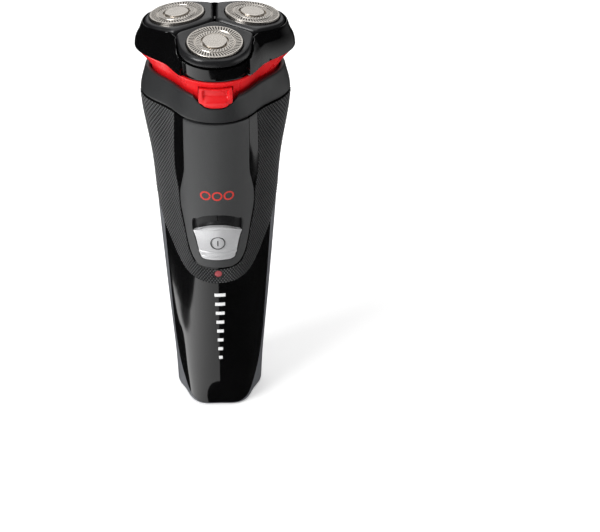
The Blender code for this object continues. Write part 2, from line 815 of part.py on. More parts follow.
def button_tool(name, margin, shoulder=0.0):
    """A deep block with the button's outline, for cutting its opening. Shoulders flare it at the collar's rim."""
    outline = list(button_outline(margin))
    if shoulder:
        wide = outline[3][0]
        top = COLLAR_TOP + 1.0
        outline[4:6] = [(wide + shoulder, top), (-wide - shoulder, top)]
    loops = [[Vector((x, y, z)) for x, z in outline] for y in (-40.0, -18.0)]
    return loft(name, loops, "red")


def neck_ring(z, inset=0.0):
    if z < COLLAR_TOP:
        return skin_ring(z, COLLAR_WALL + GAP + inset)
    share = (z - COLLAR_TOP) / NECK_RISE
    section = [low - COLLAR_WALL + (high - GAP - low + COLLAR_WALL) * share
               for low, high in zip(RIM_SECTION, HEAD_BOTTOM_SECTION)]
    return ring(section, z, inset)


def make_neck():
    floor = chamber_floor()
    under = floor - CHAMBER_FLOOR_T
    loops = [
        neck_ring(under),
        neck_ring(COLLAR_TOP - 0.3),
        neck_ring(COLLAR_TOP),
        neck_ring(COLLAR_TOP + NECK_RISE * 0.5),
        neck_ring(NECK_TOP - 0.5),
        neck_ring(NECK_TOP, 0.4),
        neck_ring(NECK_TOP, NECK_WALL + 0.4),
        neck_ring(floor, NECK_WALL),
    ]
    neck = loft("hair_chamber", loops, "red")
    for k, azimuth in enumerate(CAP_AZIMUTHS, 1):
        cut(neck, rod(f"floor_hole_cutter_{k}", SPINDLE_R + 0.9, under - 1, floor + 1, "red", 16,
                      spindle_place(azimuth)))
    cut(neck, button_tool("neck_notch_cutter", 0.45))
    for side in (-1, 1):
        low, high = sorted((side * (KNUCKLE_W + GAP), side * HINGE_W))
        join(neck, hinge_knuckle(f"neck_knuckle_{low:.0f}", low, high, -3.2))
    room = KNUCKLE_W + GAP
    swing = rod("knuckle_room_cutter", HINGE_R + 0.5, -room, room, "red", 16, hinge_place())
    bore = rod("neck_pin_cutter", PIN_R + GAP, -HINGE_W - 1, HINGE_W + 1, "red", 12, hinge_place())
    cut(neck, swing, bore)
    return neck


# ---------------------------------------------------------------- hinge and button
def hinge_y():
    return HEAD_BOTTOM_SECTION[6] + HINGE_OUT


def hinge_place():
    return at(0, hinge_y(), NECK_TOP + GAP / 2) @ ALONG_X


def hinge_knuckle(name, low, high, foot):
    """A barrel round the hinge axis with a web that runs into the wall: foot is the web's height from the axis."""
    barrel = []
    for k in range(9):
        turn = math.radians(-90 + 180 * k / 8)
        barrel.append((HINGE_R * math.cos(turn), HINGE_R * math.sin(turn)))
    inner = -HINGE_R - 1.2
    if foot < 0:
        web = [(-HINGE_R * 0.9, HINGE_R * 0.4), (-HINGE_R, -0.2), (inner, -0.9), (inner, foot)]
        outline = [(-0.6, foot)] + barrel[1:] + web
    else:
        outline = barrel[:-1] + [(-0.6, foot), (inner, foot), (inner, 1.0), (-HINGE_R, 0.3)]
    axis_z = NECK_TOP + GAP / 2
    loops = [[Vector((x, hinge_y() + y, axis_z + z)) for y, z in outline] for x in (low, high)]
    return loft(name, loops, "red")


def make_hinge_pin():
    return rod("hinge_pin", PIN_R, -HINGE_W, HINGE_W, "steel", 12, hinge_place())


def make_button():
    outline = button_outline()
    steps = 6
    heights = sorted({z for _, z in outline})
    halves = {z: max(abs(x) for x, height in outline if height == z) for z in heights}
    face, back = [], []
    for z in heights:
        share = max(0.0, (z - COLLAR_TOP) / NECK_RISE)
        section = [low - GAP + (high - low) * share for low, high in zip(RIM_SECTION, HEAD_BOTTOM_SECTION)]
        if z < COLLAR_TOP:
            section = section_at(z)
        xs = [halves[z] * (2 * k / steps - 1) for k in range(steps + 1)]
        front = [Vector((x, -math.sqrt(max(section[0] ** 2 - 1.35 * x**2, 1.0)), z)) for x in xs]
        face.append(front)
        back.append([Vector((p.x, p.y + BUTTON_T, z)) for p in front])
    button = slab("release_button", face, back, "red")
    front = RIM_SECTION[0]
    spring_y = -front + BUTTON_T + BUTTON_TRAVEL + 0.9
    top = NECK_TOP - 2.4
    outline = ((-4.6, spring_y + 0.9), (-4.0, spring_y + 0.9), (-1.0, spring_y + 0.1), (1.0, spring_y + 0.1),
               (4.0, spring_y + 0.9), (4.6, spring_y + 0.9), (4.6, spring_y + 1.3), (3.9, spring_y + 1.3),
               (0.9, spring_y + 0.5), (-0.9, spring_y + 0.5), (-3.9, spring_y + 1.3), (-4.6, spring_y + 1.3))
    prism("release_spring", outline, chamber_floor() + 1.2, top, "steel")
    ride_on((button,), joint_point("release_button_axis", at(0, -front, COLLAR_TOP)))
    return button


# ---------------------------------------------------------------- shaving head
def deck_z(spot):
    """Height of the head's deck: under each cap it leans outwards as the cap's frame does."""
    out = max(spot.x * math.sin(math.radians(a)) - spot.y * math.cos(math.radians(a)) for a in CAP_AZIMUTHS)
    lean = math.radians(CAP_TILT)
    return CAP_PLANE - (FRAME_H + FRAME_TILT_ROOM) / math.cos(lean) - (out - CAP_RING_R) * math.tan(lean)


def head_ring(share, inset=0.0, drop=0.0):
    """The head shell's outline, from 0 at its rim to 1 at its deck, and how far below the deck it lies."""
    section = [low + (high - low) * share for low, high in zip(HEAD_BOTTOM_SECTION, HEAD_TOP_SECTION)]
    outline = ring(section, HEAD_BOTTOM, inset)
    for spot in outline:
        spot.z += (deck_z(spot) - HEAD_BOTTOM) * share - drop
    return outline


def flat_head_ring(z, inset):
    section = [low * 0.9 + high * 0.1 for low, high in zip(HEAD_BOTTOM_SECTION, HEAD_TOP_SECTION)]
    return ring(section, z, inset)


def cap_place(azimuth):
    """A cap's own frame: its origin on the cap plane, +Y away from the head's axis, +Z out of the cap."""
    spot = polar(azimuth, CAP_RING_R, CAP_PLANE)
    turn = Matrix.Rotation(math.radians(azimuth - 180), 4, "Z")
    lean = Matrix.Rotation(-math.radians(CAP_TILT), 4, "X")
    return at(spot.x, spot.y, spot.z) @ turn @ lean


def make_head_shell():
    loops = [
        head_ring(1.0, 12.0),
        head_ring(1.0, 0.7),
        head_ring(0.93),
        head_ring(0.5),
        head_ring(0.12),
        head_ring(0.0, 0.3),
        head_ring(0.0, HEAD_WALL),
        head_ring(0.4, HEAD_WALL),
        head_ring(1.0, HEAD_WALL, HEAD_DECK_T),
        head_ring(1.0, 12.0, HEAD_DECK_T),
    ]
    shell = loft("head_shell", loops, "gloss_black")
    for k, azimuth in enumerate(CAP_AZIMUTHS, 1):
        place = cap_place(azimuth)
        cut(shell, rod(f"deck_bore_cutter_{k}", CUTTER_R + 0.9, -11, -1, "gloss_black", 24, place))
    join(shell, hinge_knuckle("head_knuckle", -KNUCKLE_W, KNUCKLE_W, 3.0))
    for side in (-1, 1):
        low, high = sorted((side * (KNUCKLE_W + 0.01), side * (HINGE_W + 0.5)))
        room = rod(f"lug_room_cutter_{low:.0f}", HINGE_R + 0.5, low, high, "gloss_black", 16, hinge_place())
        cut(shell, room)
    cut(shell, rod("head_pin_cutter", PIN_R + GAP, -HINGE_W, HINGE_W, "gloss_black", 12, hinge_place()))
    return shell


def frame_outline(inset=0.0):
    """One head frame from above: round outside, with two straight edges that meet near the head's axis."""
    edge = -CAP_RING_R + FRAME_GAP / 2 / math.sin(math.radians(60)) + inset * 1.15
    corner = FRAME_CORNER - inset
    wide, out = FRAME_R - inset, FRAME_OUT - inset
    slope = math.tan(math.radians(30))
    tip = 2.2
    half = [(tip, edge + tip * slope), (corner - 0.9, edge + (corner - 0.9) * slope)]
    half += [(corner, edge + corner * slope + 0.9), (corner - 0.25, -3.4)]
    half += [(wide * math.cos(math.radians(a)), out * math.sin(math.radians(a))) for a in range(0, 90, 15)]
    other = [(-x, y) for x, y in reversed(half)]
    return half + [(0.0, out)] + other


def make_frame(k, place):
    loops = []
    for z, inset in ((-FRAME_H, 0.3), (-FRAME_H + 0.5, 0.0), (-1.5, 0.0), (-0.7, 0.5), (-0.35, 1.4)):
        loops.append([Vector((x, y, z)) for x, y in frame_outline(inset)])
    frame = loft(f"head_frame_{k}", loops, "matte_black", place=place)
    cut(frame, rod(f"cap_hole_cutter_{k}", CAP_R + GAP, -6, 2, "matte_black", 24, place))
    ceiling = -CAP_H + 1.1
    cut(frame, rod(f"flange_room_cutter_{k}", CAP_FLANGE_R + 0.4, -6, ceiling, "matte_black", 24, place))
    return frame


def make_cap(k, place):
    profile = (
        (0, -2.0), (CAP_DISC_R + 0.5, -2.0), (CAP_DISC_R + 0.9, -CAP_TOP_T), (CAP_R - 1.0, -CAP_TOP_T), (CAP_R - 0.9, -CAP_H),
        (CAP_FLANGE_R, -CAP_H), (CAP_FLANGE_R, -CAP_H + 0.7), (CAP_R, -CAP_H + 0.7), (CAP_R, -0.4),
        (CAP_R - 0.4, 0), (CAP_DISC_R + 0.7, 0), (CAP_DISC_R + GAP, -1.2), (0, -1.2),
    )
    cap = turned(f"shaving_cap_{k}", profile, "steel", 22, place)
    disc = ((0, -0.9), (CAP_DISC_R, -0.9), (CAP_DISC_R, 0.2), (CAP_DISC_R - 0.5, 0.5), (0, 0.6))
    return cap, turned(f"cap_disc_{k}", disc, "steel", 18, place)


def make_cutter(k, place):
    """A disc with a ring of blades that stands up under the cap's slots, and a hub with a socket."""
    steps = 2 * BLADES
    disc_top, disc_low = -4.6, -5.5
    rings = (
        (SOCKET_R, -HUB_BOTTOM), (HUB_R, -HUB_BOTTOM), (HUB_R, disc_low), (CUTTER_R, disc_low),
        (CUTTER_R, disc_top), (CUTTER_R - BLADE_W, disc_top), (2.4, disc_top),
    )
    turns = [2 * math.pi * (j + 0.3 * (j % 2)) / steps for j in range(steps)]
    points, faces = [], []
    for radius, z in rings:
        points += [Vector((radius * math.cos(t), radius * math.sin(t), z)) for t in turns]
    points += [Vector((SOCKET_R * math.cos(t), SOCKET_R * math.sin(t), -HUB_BOTTOM + SOCKET_DEPTH)) for t in turns]
    last = len(rings)
    order = [last] + list(range(last))
    for low, high in zip(order, order[1:]):
        for j in range(steps):
            after = (j + 1) % steps
            faces.append((low * steps + j, low * steps + after, high * steps + after, high * steps + j))
    faces.append(tuple((last - 1) * steps + j for j in range(steps)))
    faces.append(tuple(last * steps + j for j in range(steps)))
    cutter = make(f"cutter_{k}", points, faces, "steel", place)
    raise_blades(cutter.data, disc_top, -CAP_TOP_T - 0.4 - disc_top)
    return cutter


def raise_blades(mesh, height, rise):
    """Draws every second face of the disc's outer ring up into a blade."""
    shape = bmesh.new()
    shape.from_mesh(mesh)
    middle_r = (CUTTER_R - BLADE_W / 2) * MM
    top = [f for f in shape.faces if f.normal.z > 0.9 and abs(f.calc_center_median().z - height * MM) < 1e-5]
    band = [f for f in top if abs(f.calc_center_median().xy.length - middle_r) < 0.6 * MM and len(f.verts) == 4]
    band.sort(key=lambda f: math.atan2(f.calc_center_median().y, f.calc_center_median().x))
    raised = bmesh.ops.extrude_discrete_faces(shape, faces=band[::2])["faces"]
    bmesh.ops.translate(shape, vec=Vector((0, 0, rise * MM)), verts=[v for f in raised for v in f.verts])
    bmesh.ops.recalc_face_normals(shape, faces=shape.faces)
    shape.to_mesh(mesh)
    shape.free()


def make_retainer():
    low = HEAD_BOTTOM + 0.6
    high = low + PLATE_T
    plate = loft(
        "retaining_plate",
        [flat_head_ring(z, HEAD_WALL + 1.0) for z in (low, high)],
        "nylon",
    )
    for k, azimuth in enumerate(CAP_AZIMUTHS, 1):
        cut(plate, rod(f"plate_hole_cutter_{k}", HUB_R + 0.9, low - 1, high + 1, "nylon", 20, spindle_place(azimuth)))
    cut(plate, rod("knob_hole_cutter", 2.4, low - 1, high + 1, "nylon", 16))
    profile = (
        (0, low - 2.4), (KNOB_R - 0.6, low - 2.4), (KNOB_R, low - 1.9), (KNOB_R, low - GAP), (2.0, low - GAP),
        (2.0, high + 1.6), (1.6, high + 2.0), (0, high + 2.0),
    )
    knob = turned("lock_knob", profile, "matte_black", 24)
    grip_cut = []
    for side in (-1, 1):
        ends = sorted((side * 1.0, side * 8.0))
        grip_cut.append(block(f"knob_grip_cutter_{side}", (ends[0], -8, low - 4), (ends[1], 8, low - 1.3), "nylon"))
    cut(knob, *grip_cut)
    return plate, knob


def make_head():
    hinge = joint_point("head_hinge_axis", hinge_place())
    shell = make_head_shell()
    plate, knob = make_retainer()
    ride_on((shell, plate), hinge)
    knob_axis = joint_point("lock_knob_axis", at(0, 0, HEAD_BOTTOM))
    ride_on((knob_axis,), hinge)
    ride_on((knob,), knob_axis)
    for k, azimuth in enumerate(CAP_AZIMUTHS, 1):
        place = cap_place(azimuth)
        tilt_axis = joint_point(f"head_tilt_axis_{k}", place @ at(0, 0, -CAP_H))
        cap_axis = joint_point(f"cap_axis_{k}", place)
        ride_on((tilt_axis,), hinge)
        ride_on((cap_axis,), tilt_axis)
        ride_on((make_frame(k, place),), tilt_axis)
        ride_on((*make_cap(k, place), make_cutter(k, place)), cap_axis)


def shade_round():
    for item in bpy.data.objects:
        if item.type == "MESH":
            item.data.shade_smooth()
            item.data.set_sharp_from_angle(angle=math.radians(35))


def main():
    clear_scene()
    make_rear_shell()
    make_case_screws()
    make_front_shell()
    make_front_panel()
    make_grip()
    make_lamp()
    make_switch()
    make_power_pack()
    make_inlet()
    make_motor()
    make_drive()
    make_collar()
    make_neck()
    make_hinge_pin()
    make_button()
    make_head()
    shade_round()


main()
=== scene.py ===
"""Looks of a rotary electric shaver with three cutting heads.

The packed model is the fixed frame, and the outer pieces here stand for its skins. Sizes are in
millimetres, and a mesh is turned into metres as it is shaped. Round the body an angle runs in
degrees from the front (0) through the right side (90) to the back (180).
"""

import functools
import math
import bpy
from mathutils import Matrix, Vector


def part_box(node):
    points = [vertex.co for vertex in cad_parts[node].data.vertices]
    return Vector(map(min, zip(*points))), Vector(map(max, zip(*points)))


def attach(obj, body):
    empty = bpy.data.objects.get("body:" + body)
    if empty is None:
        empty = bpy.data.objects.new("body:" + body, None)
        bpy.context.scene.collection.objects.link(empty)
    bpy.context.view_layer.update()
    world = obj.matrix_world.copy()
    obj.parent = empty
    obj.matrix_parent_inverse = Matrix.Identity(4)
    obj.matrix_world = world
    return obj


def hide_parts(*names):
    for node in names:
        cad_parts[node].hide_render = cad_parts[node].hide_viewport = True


bl_info = {
    "name": "Rotary Shaver",
    "version": (1, 0, 0),
    "blender": (4, 5, 0),
    "location": "View3D > Sidebar > Shaver",
    "description": "Builds a three-headed rotary shaver's outer pieces, finishes and studio",
    "category": "Object",
}

import bmesh
import bpy
from bpy.props import FloatProperty, FloatVectorProperty, IntProperty, PointerProperty
from mathutils import Matrix, Vector

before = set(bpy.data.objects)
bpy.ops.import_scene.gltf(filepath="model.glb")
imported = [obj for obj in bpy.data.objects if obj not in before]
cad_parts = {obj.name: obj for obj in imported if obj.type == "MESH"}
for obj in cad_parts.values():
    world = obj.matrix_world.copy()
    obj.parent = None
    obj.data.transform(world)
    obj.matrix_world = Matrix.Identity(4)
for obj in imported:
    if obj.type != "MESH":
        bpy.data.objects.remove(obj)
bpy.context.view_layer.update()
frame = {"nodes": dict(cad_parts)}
MM = 0.001


def top_of(node):
    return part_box(node)[1].z / MM


def foot_of(node):
    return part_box(node)[0].z / MM


def middle_of(node):
    low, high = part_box(node)
    return (low + high) / 2 / MM


# ---- sizes shared by the pieces
GAP = 0.3
SEAM = top_of("rear_shell") + GAP
COLLAR_TOP = top_of("collar_band")
HEAD_BOTTOM = foot_of("retaining_plate") - 0.6
NECK_TOP = HEAD_BOTTOM - GAP
NECK_RISE = NECK_TOP - COLLAR_TOP
CAP_RING_R = 15.85
CAP_TILT = 7.0
CAP_PLANE = HEAD_BOTTOM + 11.2
CAP_AZIMUTHS = (0.0, 120.0, 240.0)

# The handle's sections: the share of its height at which each lies, then the distances from the
# axis to the skin at every 30 degrees, from the front round to the back.
SECTIONS = (
    (0.000, (15.2, 16.6, 15.0, 16.4, 16.9, 15.2, 14.4)),
    (0.116, (17.7, 17.6, 16.2, 17.2, 18.0, 16.8, 16.4)),
    (0.340, (19.6, 18.4, 16.9, 19.2, 20.6, 19.2, 18.6)),
    (0.600, (21.5, 19.5, 17.7, 21.4, 22.8, 20.8, 20.0)),
    (0.790, (22.6, 20.9, 19.0, 23.0, 24.4, 21.9, 21.0)),
)


def round_ring(*shares):
    """A section of the wide upper part, as shares of the radius of the ring of caps."""
    return tuple(CAP_RING_R * share for share in shares)


SEAM_SECTION = round_ring(1.5237, 1.4227, 1.3155, 1.6814, 1.7256, 1.5174, 1.4290)
RIM_SECTION = round_ring(1.5931, 1.4164, 1.2965, 1.5552, 1.6435, 1.4921, 1.4290)
HEAD_BOTTOM_SECTION = round_ring(1.6372, 1.5174, 1.3344, 1.7571, 1.8517, 1.5868, 1.4732)
HEAD_TOP_SECTION = round_ring(1.6877, 1.4984, 1.2461, 1.6057, 1.7319, 1.4227, 1.2776)

# Front case: height, half-angle.
FRONT_EDGE = (
    (1.2, 27.0), (2.6, 42.0), (5.5, 56.0), (10.0, 67.0), (17.0, 77.0), (27.0, 83.0), (40.0, 84.0),
)
# Panel: distance below the seam, half-width.
PANEL_EDGE = (
    (0.5, 11.8), (12.0, 11.9), (23.0, 12.0), (29.0, 12.9), (34.0, 13.6), (40.0, 13.5),
    (47.0, 12.4), (55.0, 11.1), (60.0, 9.6), (62.4, 7.8), (63.4, 5.6),
)
# Grip: inner half-width, its distance below the seam, outer angle, its distance below the seam.
GRIP_EDGE = (
    (15.0, 0.5, 112.0, 0.5),
    (15.4, 13.0, 112.0, 13.0),
    (15.3, 25.0, 111.0, 26.0),
    (14.2, 34.0, 105.0, 38.0),
    (13.8, 42.0, 90.0, 48.0),
    (12.5, 49.5, 81.0, 55.0),
    (11.1, 57.3, 69.0, 61.5),
    (8.9, 62.6, 52.0, 67.4),
    (5.0, 64.1, 27.0, 70.0),
    (0.0, 64.3, 0.0, 70.6),
)

SWITCH_TRAVEL = 4.0
SLIDER_TOP = SEAM - 44.3
SLIDER_H = 15.1
SLIDER_CROWN = 2.8
LAMP_Z = SEAM - 66.4
CAP_R = 10.0
DISC_R = 4.4
FRAME_DEPTH = 3.6
SHOULDER_H = 3.0  # the skirt's rise above the head's deck, round the side frames
OUTER_TRACK = 9.4, 7.45
INNER_TRACK = 6.6, 5.3
SLOT_DEPTH = 0.5
TRACK_SLANT = 3.5, 6.0  # degrees that the slots of the outer and the inner track lean
BUTTON_HALF_W = 5.9
HEAD_BARREL_HALF = 3.8  # half-length of the head's barrel on the hinge pin
LUG_START = 4.1  # where the hair chamber's barrels start, on either side
NECK_INSET = 2.3  # from the collar's rim to the foot of the hair chamber

# Depths below the skin, from a piece's outside to its inside.
PANEL_DEPTHS = -0.05, 1.2
PANEL_POCKET = -2.0, 1.33
GRIP_POCKET = -2.0, 1.42
BED_DEPTHS = 1.18, 1.38
TICK_DEPTHS = 1.12, 1.25
SLIDER_DEPTHS = -0.35, 0.85
POCKET_MARGIN = 0.2
VALLEY_DEPTH = 0.05
LAMP_HOLE_R = 2.1


# ---- settings
class SizeSettings(bpy.types.PropertyGroup):
    skin_wall: FloatProperty(
        name="Skin wall", description="Thickness of the handle's shells, mm",
        default=2.0, min=0.8, max=2.6,
    )
    knurl_pitch: FloatProperty(
        name="Knurl pitch", description="Distance between the grip's points, mm",
        default=1.25, min=0.6, max=3.0,
    )
    knurl_depth: FloatProperty(
        name="Knurl depth", description="Height of the grip's points, mm",
        default=0.36, min=0.05, max=0.6,
    )
    outer_slots: IntProperty(
        name="Outer slots", description="Slots round each cap's outer track",
        default=54, min=12, max=90,
    )
    edge_radius: FloatProperty(
        name="Edge radius", description="Rounding of the front case's edges, mm",
        default=0.25, min=0.05, max=0.6,
    )


def colour(name, description, *default):
    return FloatVectorProperty(
        name=name, description=description, subtype="COLOR", default=default
    )


class ColourSettings(bpy.types.PropertyGroup):
    gloss: colour("Gloss black", "Front case and head case", 0.002, 0.002, 0.0022)
    matte: colour("Matte black", "Collar band", 0.024, 0.025, 0.026)
    panel: colour("Panel", "Satin front panel", 0.050, 0.051, 0.052)
    frame: colour("Frame", "Head frames", 0.011, 0.011, 0.012)
    grip: colour("Grip", "Soft knurled grip", 0.062, 0.063, 0.065)
    red: colour("Red", "Hair chamber and release button", 0.78, 0.010, 0.014)
    silver: colour("Silver", "Power slider", 0.62, 0.62, 0.63)
    steel: colour("Steel", "Shaving caps", 0.66, 0.62, 0.57)
    rear: colour("Rear case", "Satin grey", 0.16, 0.165, 0.18)


def sizes():
    return bpy.context.scene.shaver_sizes


def colours():
    return bpy.context.scene.shaver_colours


# ---- skin of the body
def smooth(x, points):
    """Value at x of the smooth curve through the (x, value) points."""
    xs, ys = zip(*points)
    if x <= xs[0]:
        return ys[0]
    if x >= xs[-1]:
        return ys[-1]
    slopes = []
    for i in range(len(xs)):
        low, high = max(i - 1, 0), min(i + 1, len(xs) - 1)
        slopes.append((ys[high] - ys[low]) / (xs[high] - xs[low]))
    i = max(k for k in range(len(xs) - 1) if xs[k] <= x)
    width = xs[i + 1] - xs[i]
    t = (x - xs[i]) / width
    lift = (2 * t**3 - 3 * t**2 + 1) * ys[i] + (3 * t**2 - 2 * t**3) * ys[i + 1]
    bend = (t**3 - 2 * t**2 + t) * slopes[i] + (t**3 - t**2) * slopes[i + 1]
    return lift + bend * width


def step(x, low, high):
    """0 below low, 1 above high, and smooth in between."""
    t = min(max((x - low) / (high - low), 0.0), 1.0)
    return t * t * (3 - 2 * t)


@functools.cache
def section_at(z):
    stations = [(share * SEAM, reaches) for share, reaches in SECTIONS]
    stations += [(SEAM, SEAM_SECTION), (COLLAR_TOP, RIM_SECTION)]
    return tuple(
        smooth(z, [(height, reaches[k]) for height, reaches in stations])
        for k in range(len(SEAM_SECTION))
    )


@functools.cache
def waves(section):
    """Heights of the cosine waves whose sum passes the section's distances."""
    last = len(section) - 1
    ends = [0.5 if k in (0, last) else 1.0 for k in range(last + 1)]
    return [
        2 / last * ends[k]
        * sum(ends[j] * size * math.cos(math.pi * j * k / last) for j, size in enumerate(section))
        for k in range(last + 1)
    ]


def reach(angle, section):
    """Distance from the axis to the rounded outline through the section's distances."""
    turn = math.radians(angle)
    return sum(height * math.cos(k * turn) for k, height in enumerate(waves(tuple(section))))


def front_at(z):
    """Distance from the axis to the front of the skin at a height."""
    return section_at(round(z, 3))[0]


def polar(angle, radius, z):
    turn = math.radians(angle)
    return Vector((radius * math.sin(turn), -radius * math.cos(turn), z))


def skin(angle, z, inset=0.0):
    return polar(angle, reach(angle, section_at(z)) - inset, z)


def angle_at(x, z):
    """The angle at which the skin is x to the side of the middle, on the front half."""
    low, high = 0.0, 80.0
    for _ in range(24):
        middle = (low + high) / 2
        if skin(middle, z).x < abs(x):
            low = middle
        else:
            high = middle
    return math.copysign(low, x)


def mixed(low, high, share):
    return tuple(a + (b - a) * share for a, b in zip(low, high))


# ---- modelling helpers
def deselect():
    bpy.ops.object.select_all(action="DESELECT")


def activate(item):
    deselect()
    item.select_set(True)
    bpy.context.view_layer.objects.active = item


def name_piece(item, name):
    item.name = name
    item.data.name = name
    return item


def settle(item, place=Matrix.Identity(4)):
    """Moves a piece's place into its mesh, which leaves the piece itself at the origin."""
    item.data.transform(place @ item.matrix_world)
    item.matrix_world = Matrix.Identity(4)
    return item


def join(item, other):
    activate(item)
    other.select_set(True)
    bpy.ops.object.join()
    return item


def in_edit(item, *steps):
    """Runs edit-mode steps on the whole of a piece."""
    activate(item)
    bpy.ops.object.mode_set(mode="EDIT")
    bpy.ops.mesh.select_all(action="SELECT")
    for act in steps:
        act()
    bpy.ops.object.mode_set(mode="OBJECT")
    return item


def merge():
    bpy.ops.mesh.remove_doubles(threshold=1e-6)


def face_out():
    bpy.ops.mesh.normals_make_consistent(inside=False)


def sheet(name, columns, rows, place):
    """A grid whose points go where place(u, v) says, with u and v from 0 to 1."""
    deselect()
    bpy.ops.mesh.primitive_grid_add(x_subdivisions=columns, y_subdivisions=rows, size=1.0)
    item = name_piece(bpy.context.object, name)
    for point in item.data.vertices:
        point.co = place(point.co.x + 0.5, point.co.y + 0.5) * MM
    return item


def loops_of(point, names, stations):
    """A loop for each station, whose numbers point takes under the names."""
    return [functools.partial(point, **dict(zip(names, station))) for station in stations]


def ring_sheet(name, columns, loops):
    """A skin over closed loops. Each loop is a function of the angle in degrees."""
    last = len(loops) - 1
    item = sheet(name, columns, last, lambda u, v: loops[round(v * last)](360.0 * u))
    return in_edit(item, merge, face_out)


def apply_modifier(item, kind, **settings):
    modifier = item.modifiers.new(kind.lower(), kind)
    for key, value in settings.items():
        setattr(modifier, key, value)
    activate(item)
    bpy.ops.object.modifier_apply(modifier=modifier.name)
    return item


def thicken(item, wall):
    return apply_modifier(item, "SOLIDIFY", thickness=wall * MM, offset=-1.0, use_even_offset=True)


def round_edges(item, width, segments=2, angle=40.0):
    return apply_modifier(
        item, "BEVEL", width=width * MM, segments=segments,
        limit_method="ANGLE", angle_limit=math.radians(angle),
    )


def combine(item, tool, operation):
    apply_modifier(item, "BOOLEAN", operation=operation, object=tool, solver="EXACT")
    bpy.data.objects.remove(tool, do_unlink=True)
    return item


def cut(item, *tools):
    for tool in tools:
        combine(item, tool, "DIFFERENCE")
    return item


def slab(name, columns, rows, place, outer, inner):
    """A closed plate between two insets of the skin. place(u, v, inset) gives its points."""
    plate = sheet(name, columns, rows, lambda u, v: place(u, v, outer))
    inside = sheet(name + "_inside", columns, rows, lambda u, v: place(u, v, inner))
    return in_edit(join(plate, inside), close_rims, face_out)


def store(item, attribute, values):
    """Keeps a value for each point of the mesh."""
    item.data.attributes.new(attribute, "FLOAT", "POINT").data.foreach_set("value", values)


def close_rims():
    bpy.ops.mesh.select_all(action="DESELECT")
    bpy.ops.mesh.select_non_manifold()
    bpy.ops.mesh.bridge_edge_loops()
    bpy.ops.mesh.select_all(action="SELECT")


def rod(name, radius, low, high, place=Matrix.Identity(4), steps=48):
    deselect()
    bpy.ops.mesh.primitive_cylinder_add(
        vertices=steps, radius=radius * MM, depth=(high - low) * MM,
        location=(0, 0, (low + high) / 2 * MM),
    )
    return settle(name_piece(bpy.context.object, name), place)


def at(x, y, z):
    return Matrix.Translation(Vector((x, y, z)) * MM)


FACING_FRONT = Matrix.Rotation(math.radians(90), 4, "X")
FACING_BACK = Matrix.Rotation(math.radians(-90), 4, "X")
ALONG_X = Matrix.Rotation(math.radians(90), 4, "Y")


def turned(name, profile, columns, place=Matrix.Identity(4)):
    """A body turned round Z from a profile that runs from its lower outside to its middle."""
    item = ring_sheet(name, columns, loops_of(polar, ("radius", "z"), profile))
    item.data.transform(place)
    return item


def finish_piece(item, look, body, slot, *nodes, angle=35.0):
    """Gives a piece its finish, its body and the model's nodes that it stands for."""
    if look:
        item.data.materials.clear()
        item.data.materials.append(finish(look))
    activate(item)
    bpy.ops.object.shade_smooth_by_angle(angle=math.radians(angle))
    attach(item, body)
    if nodes:
        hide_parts(*nodes)
    return item


# ---- finishes
def blank(name, colour, metallic=0.0):
    material = bpy.data.materials.new(name)
    material.use_nodes = True
    shader = shader_in(material)
    shader.inputs["Base Color"].default_value = (*colour, 1.0)
    shader.inputs["Metallic"].default_value = metallic
    return material


def shader_in(material):
    return material.node_tree.nodes["Principled BSDF"]


def node(material, kind, **inputs):
    made = material.node_tree.nodes.new(kind)
    for key, value in inputs.items():
        made.inputs[key.replace("_", " ")].default_value = value
    return made


def link(material, start, end):
    material.node_tree.links.new(start, end)


def carried(material, attribute):
    """A value that the mesh carries."""
    source = node(material, "ShaderNodeAttribute")
    source.attribute_name = attribute
    return source.outputs["Fac"]


@functools.cache
def noise(material, scale, detail=4.0, stretch=(1.0, 1.0, 1.0)):
    """Noise in the piece's own space; the scale is in waves per metre."""
    where = node(material, "ShaderNodeTexCoord")
    mapping = node(material, "ShaderNodeMapping", Scale=stretch)
    texture = node(material, "ShaderNodeTexNoise", Scale=scale, Detail=detail)
    link(material, where.outputs["Object"], mapping.inputs["Vector"])
    link(material, mapping.outputs["Vector"], texture.inputs["Vector"])
    return texture.outputs["Fac"]


def spread(material, source, low, high, start=0.3, end=0.7):
    """Maps a source from start and end, between which most of a noise lies, to low and high."""
    span = node(
        material, "ShaderNodeMapRange", From_Min=start, From_Max=end, To_Min=low, To_Max=high
    )
    link(material, source, span.inputs["Value"])
    return span.outputs["Result"]


def mix_colours(material, blend, factor=1.0):
    mix = node(material, "ShaderNodeMix")
    mix.data_type = "RGBA"
    mix.blend_type = blend
    mix.inputs["Factor"].default_value = factor
    return mix


def add_bump(material, height, depth):
    """Adds relief of that depth, in millimetres, under any relief already there."""
    shader = shader_in(material)
    bump = node(material, "ShaderNodeBump", Strength=1.0, Distance=depth * MM)
    link(material, height, bump.inputs["Height"])
    before = shader.inputs["Normal"].links
    if before:
        link(material, before[0].from_socket, bump.inputs["Normal"])
    link(material, bump.outputs["Normal"], shader.inputs["Normal"])


def vary_roughness(material, source, low, high):
    link(material, spread(material, source, low, high), shader_in(material).inputs["Roughness"])


def vary_tone(material, source, colour, low, high):
    """Mixes a darker and a lighter share of the colour."""
    mix = mix_colours(material, "MIX")
    for socket, share in (("A", low), ("B", high)):
        mix.inputs[socket].default_value = (*(part * share for part in colour), 1.0)
    link(material, spread(material, source, 0.0, 1.0), mix.inputs["Factor"])
    link(material, mix.outputs["Result"], shader_in(material).inputs["Base Color"])


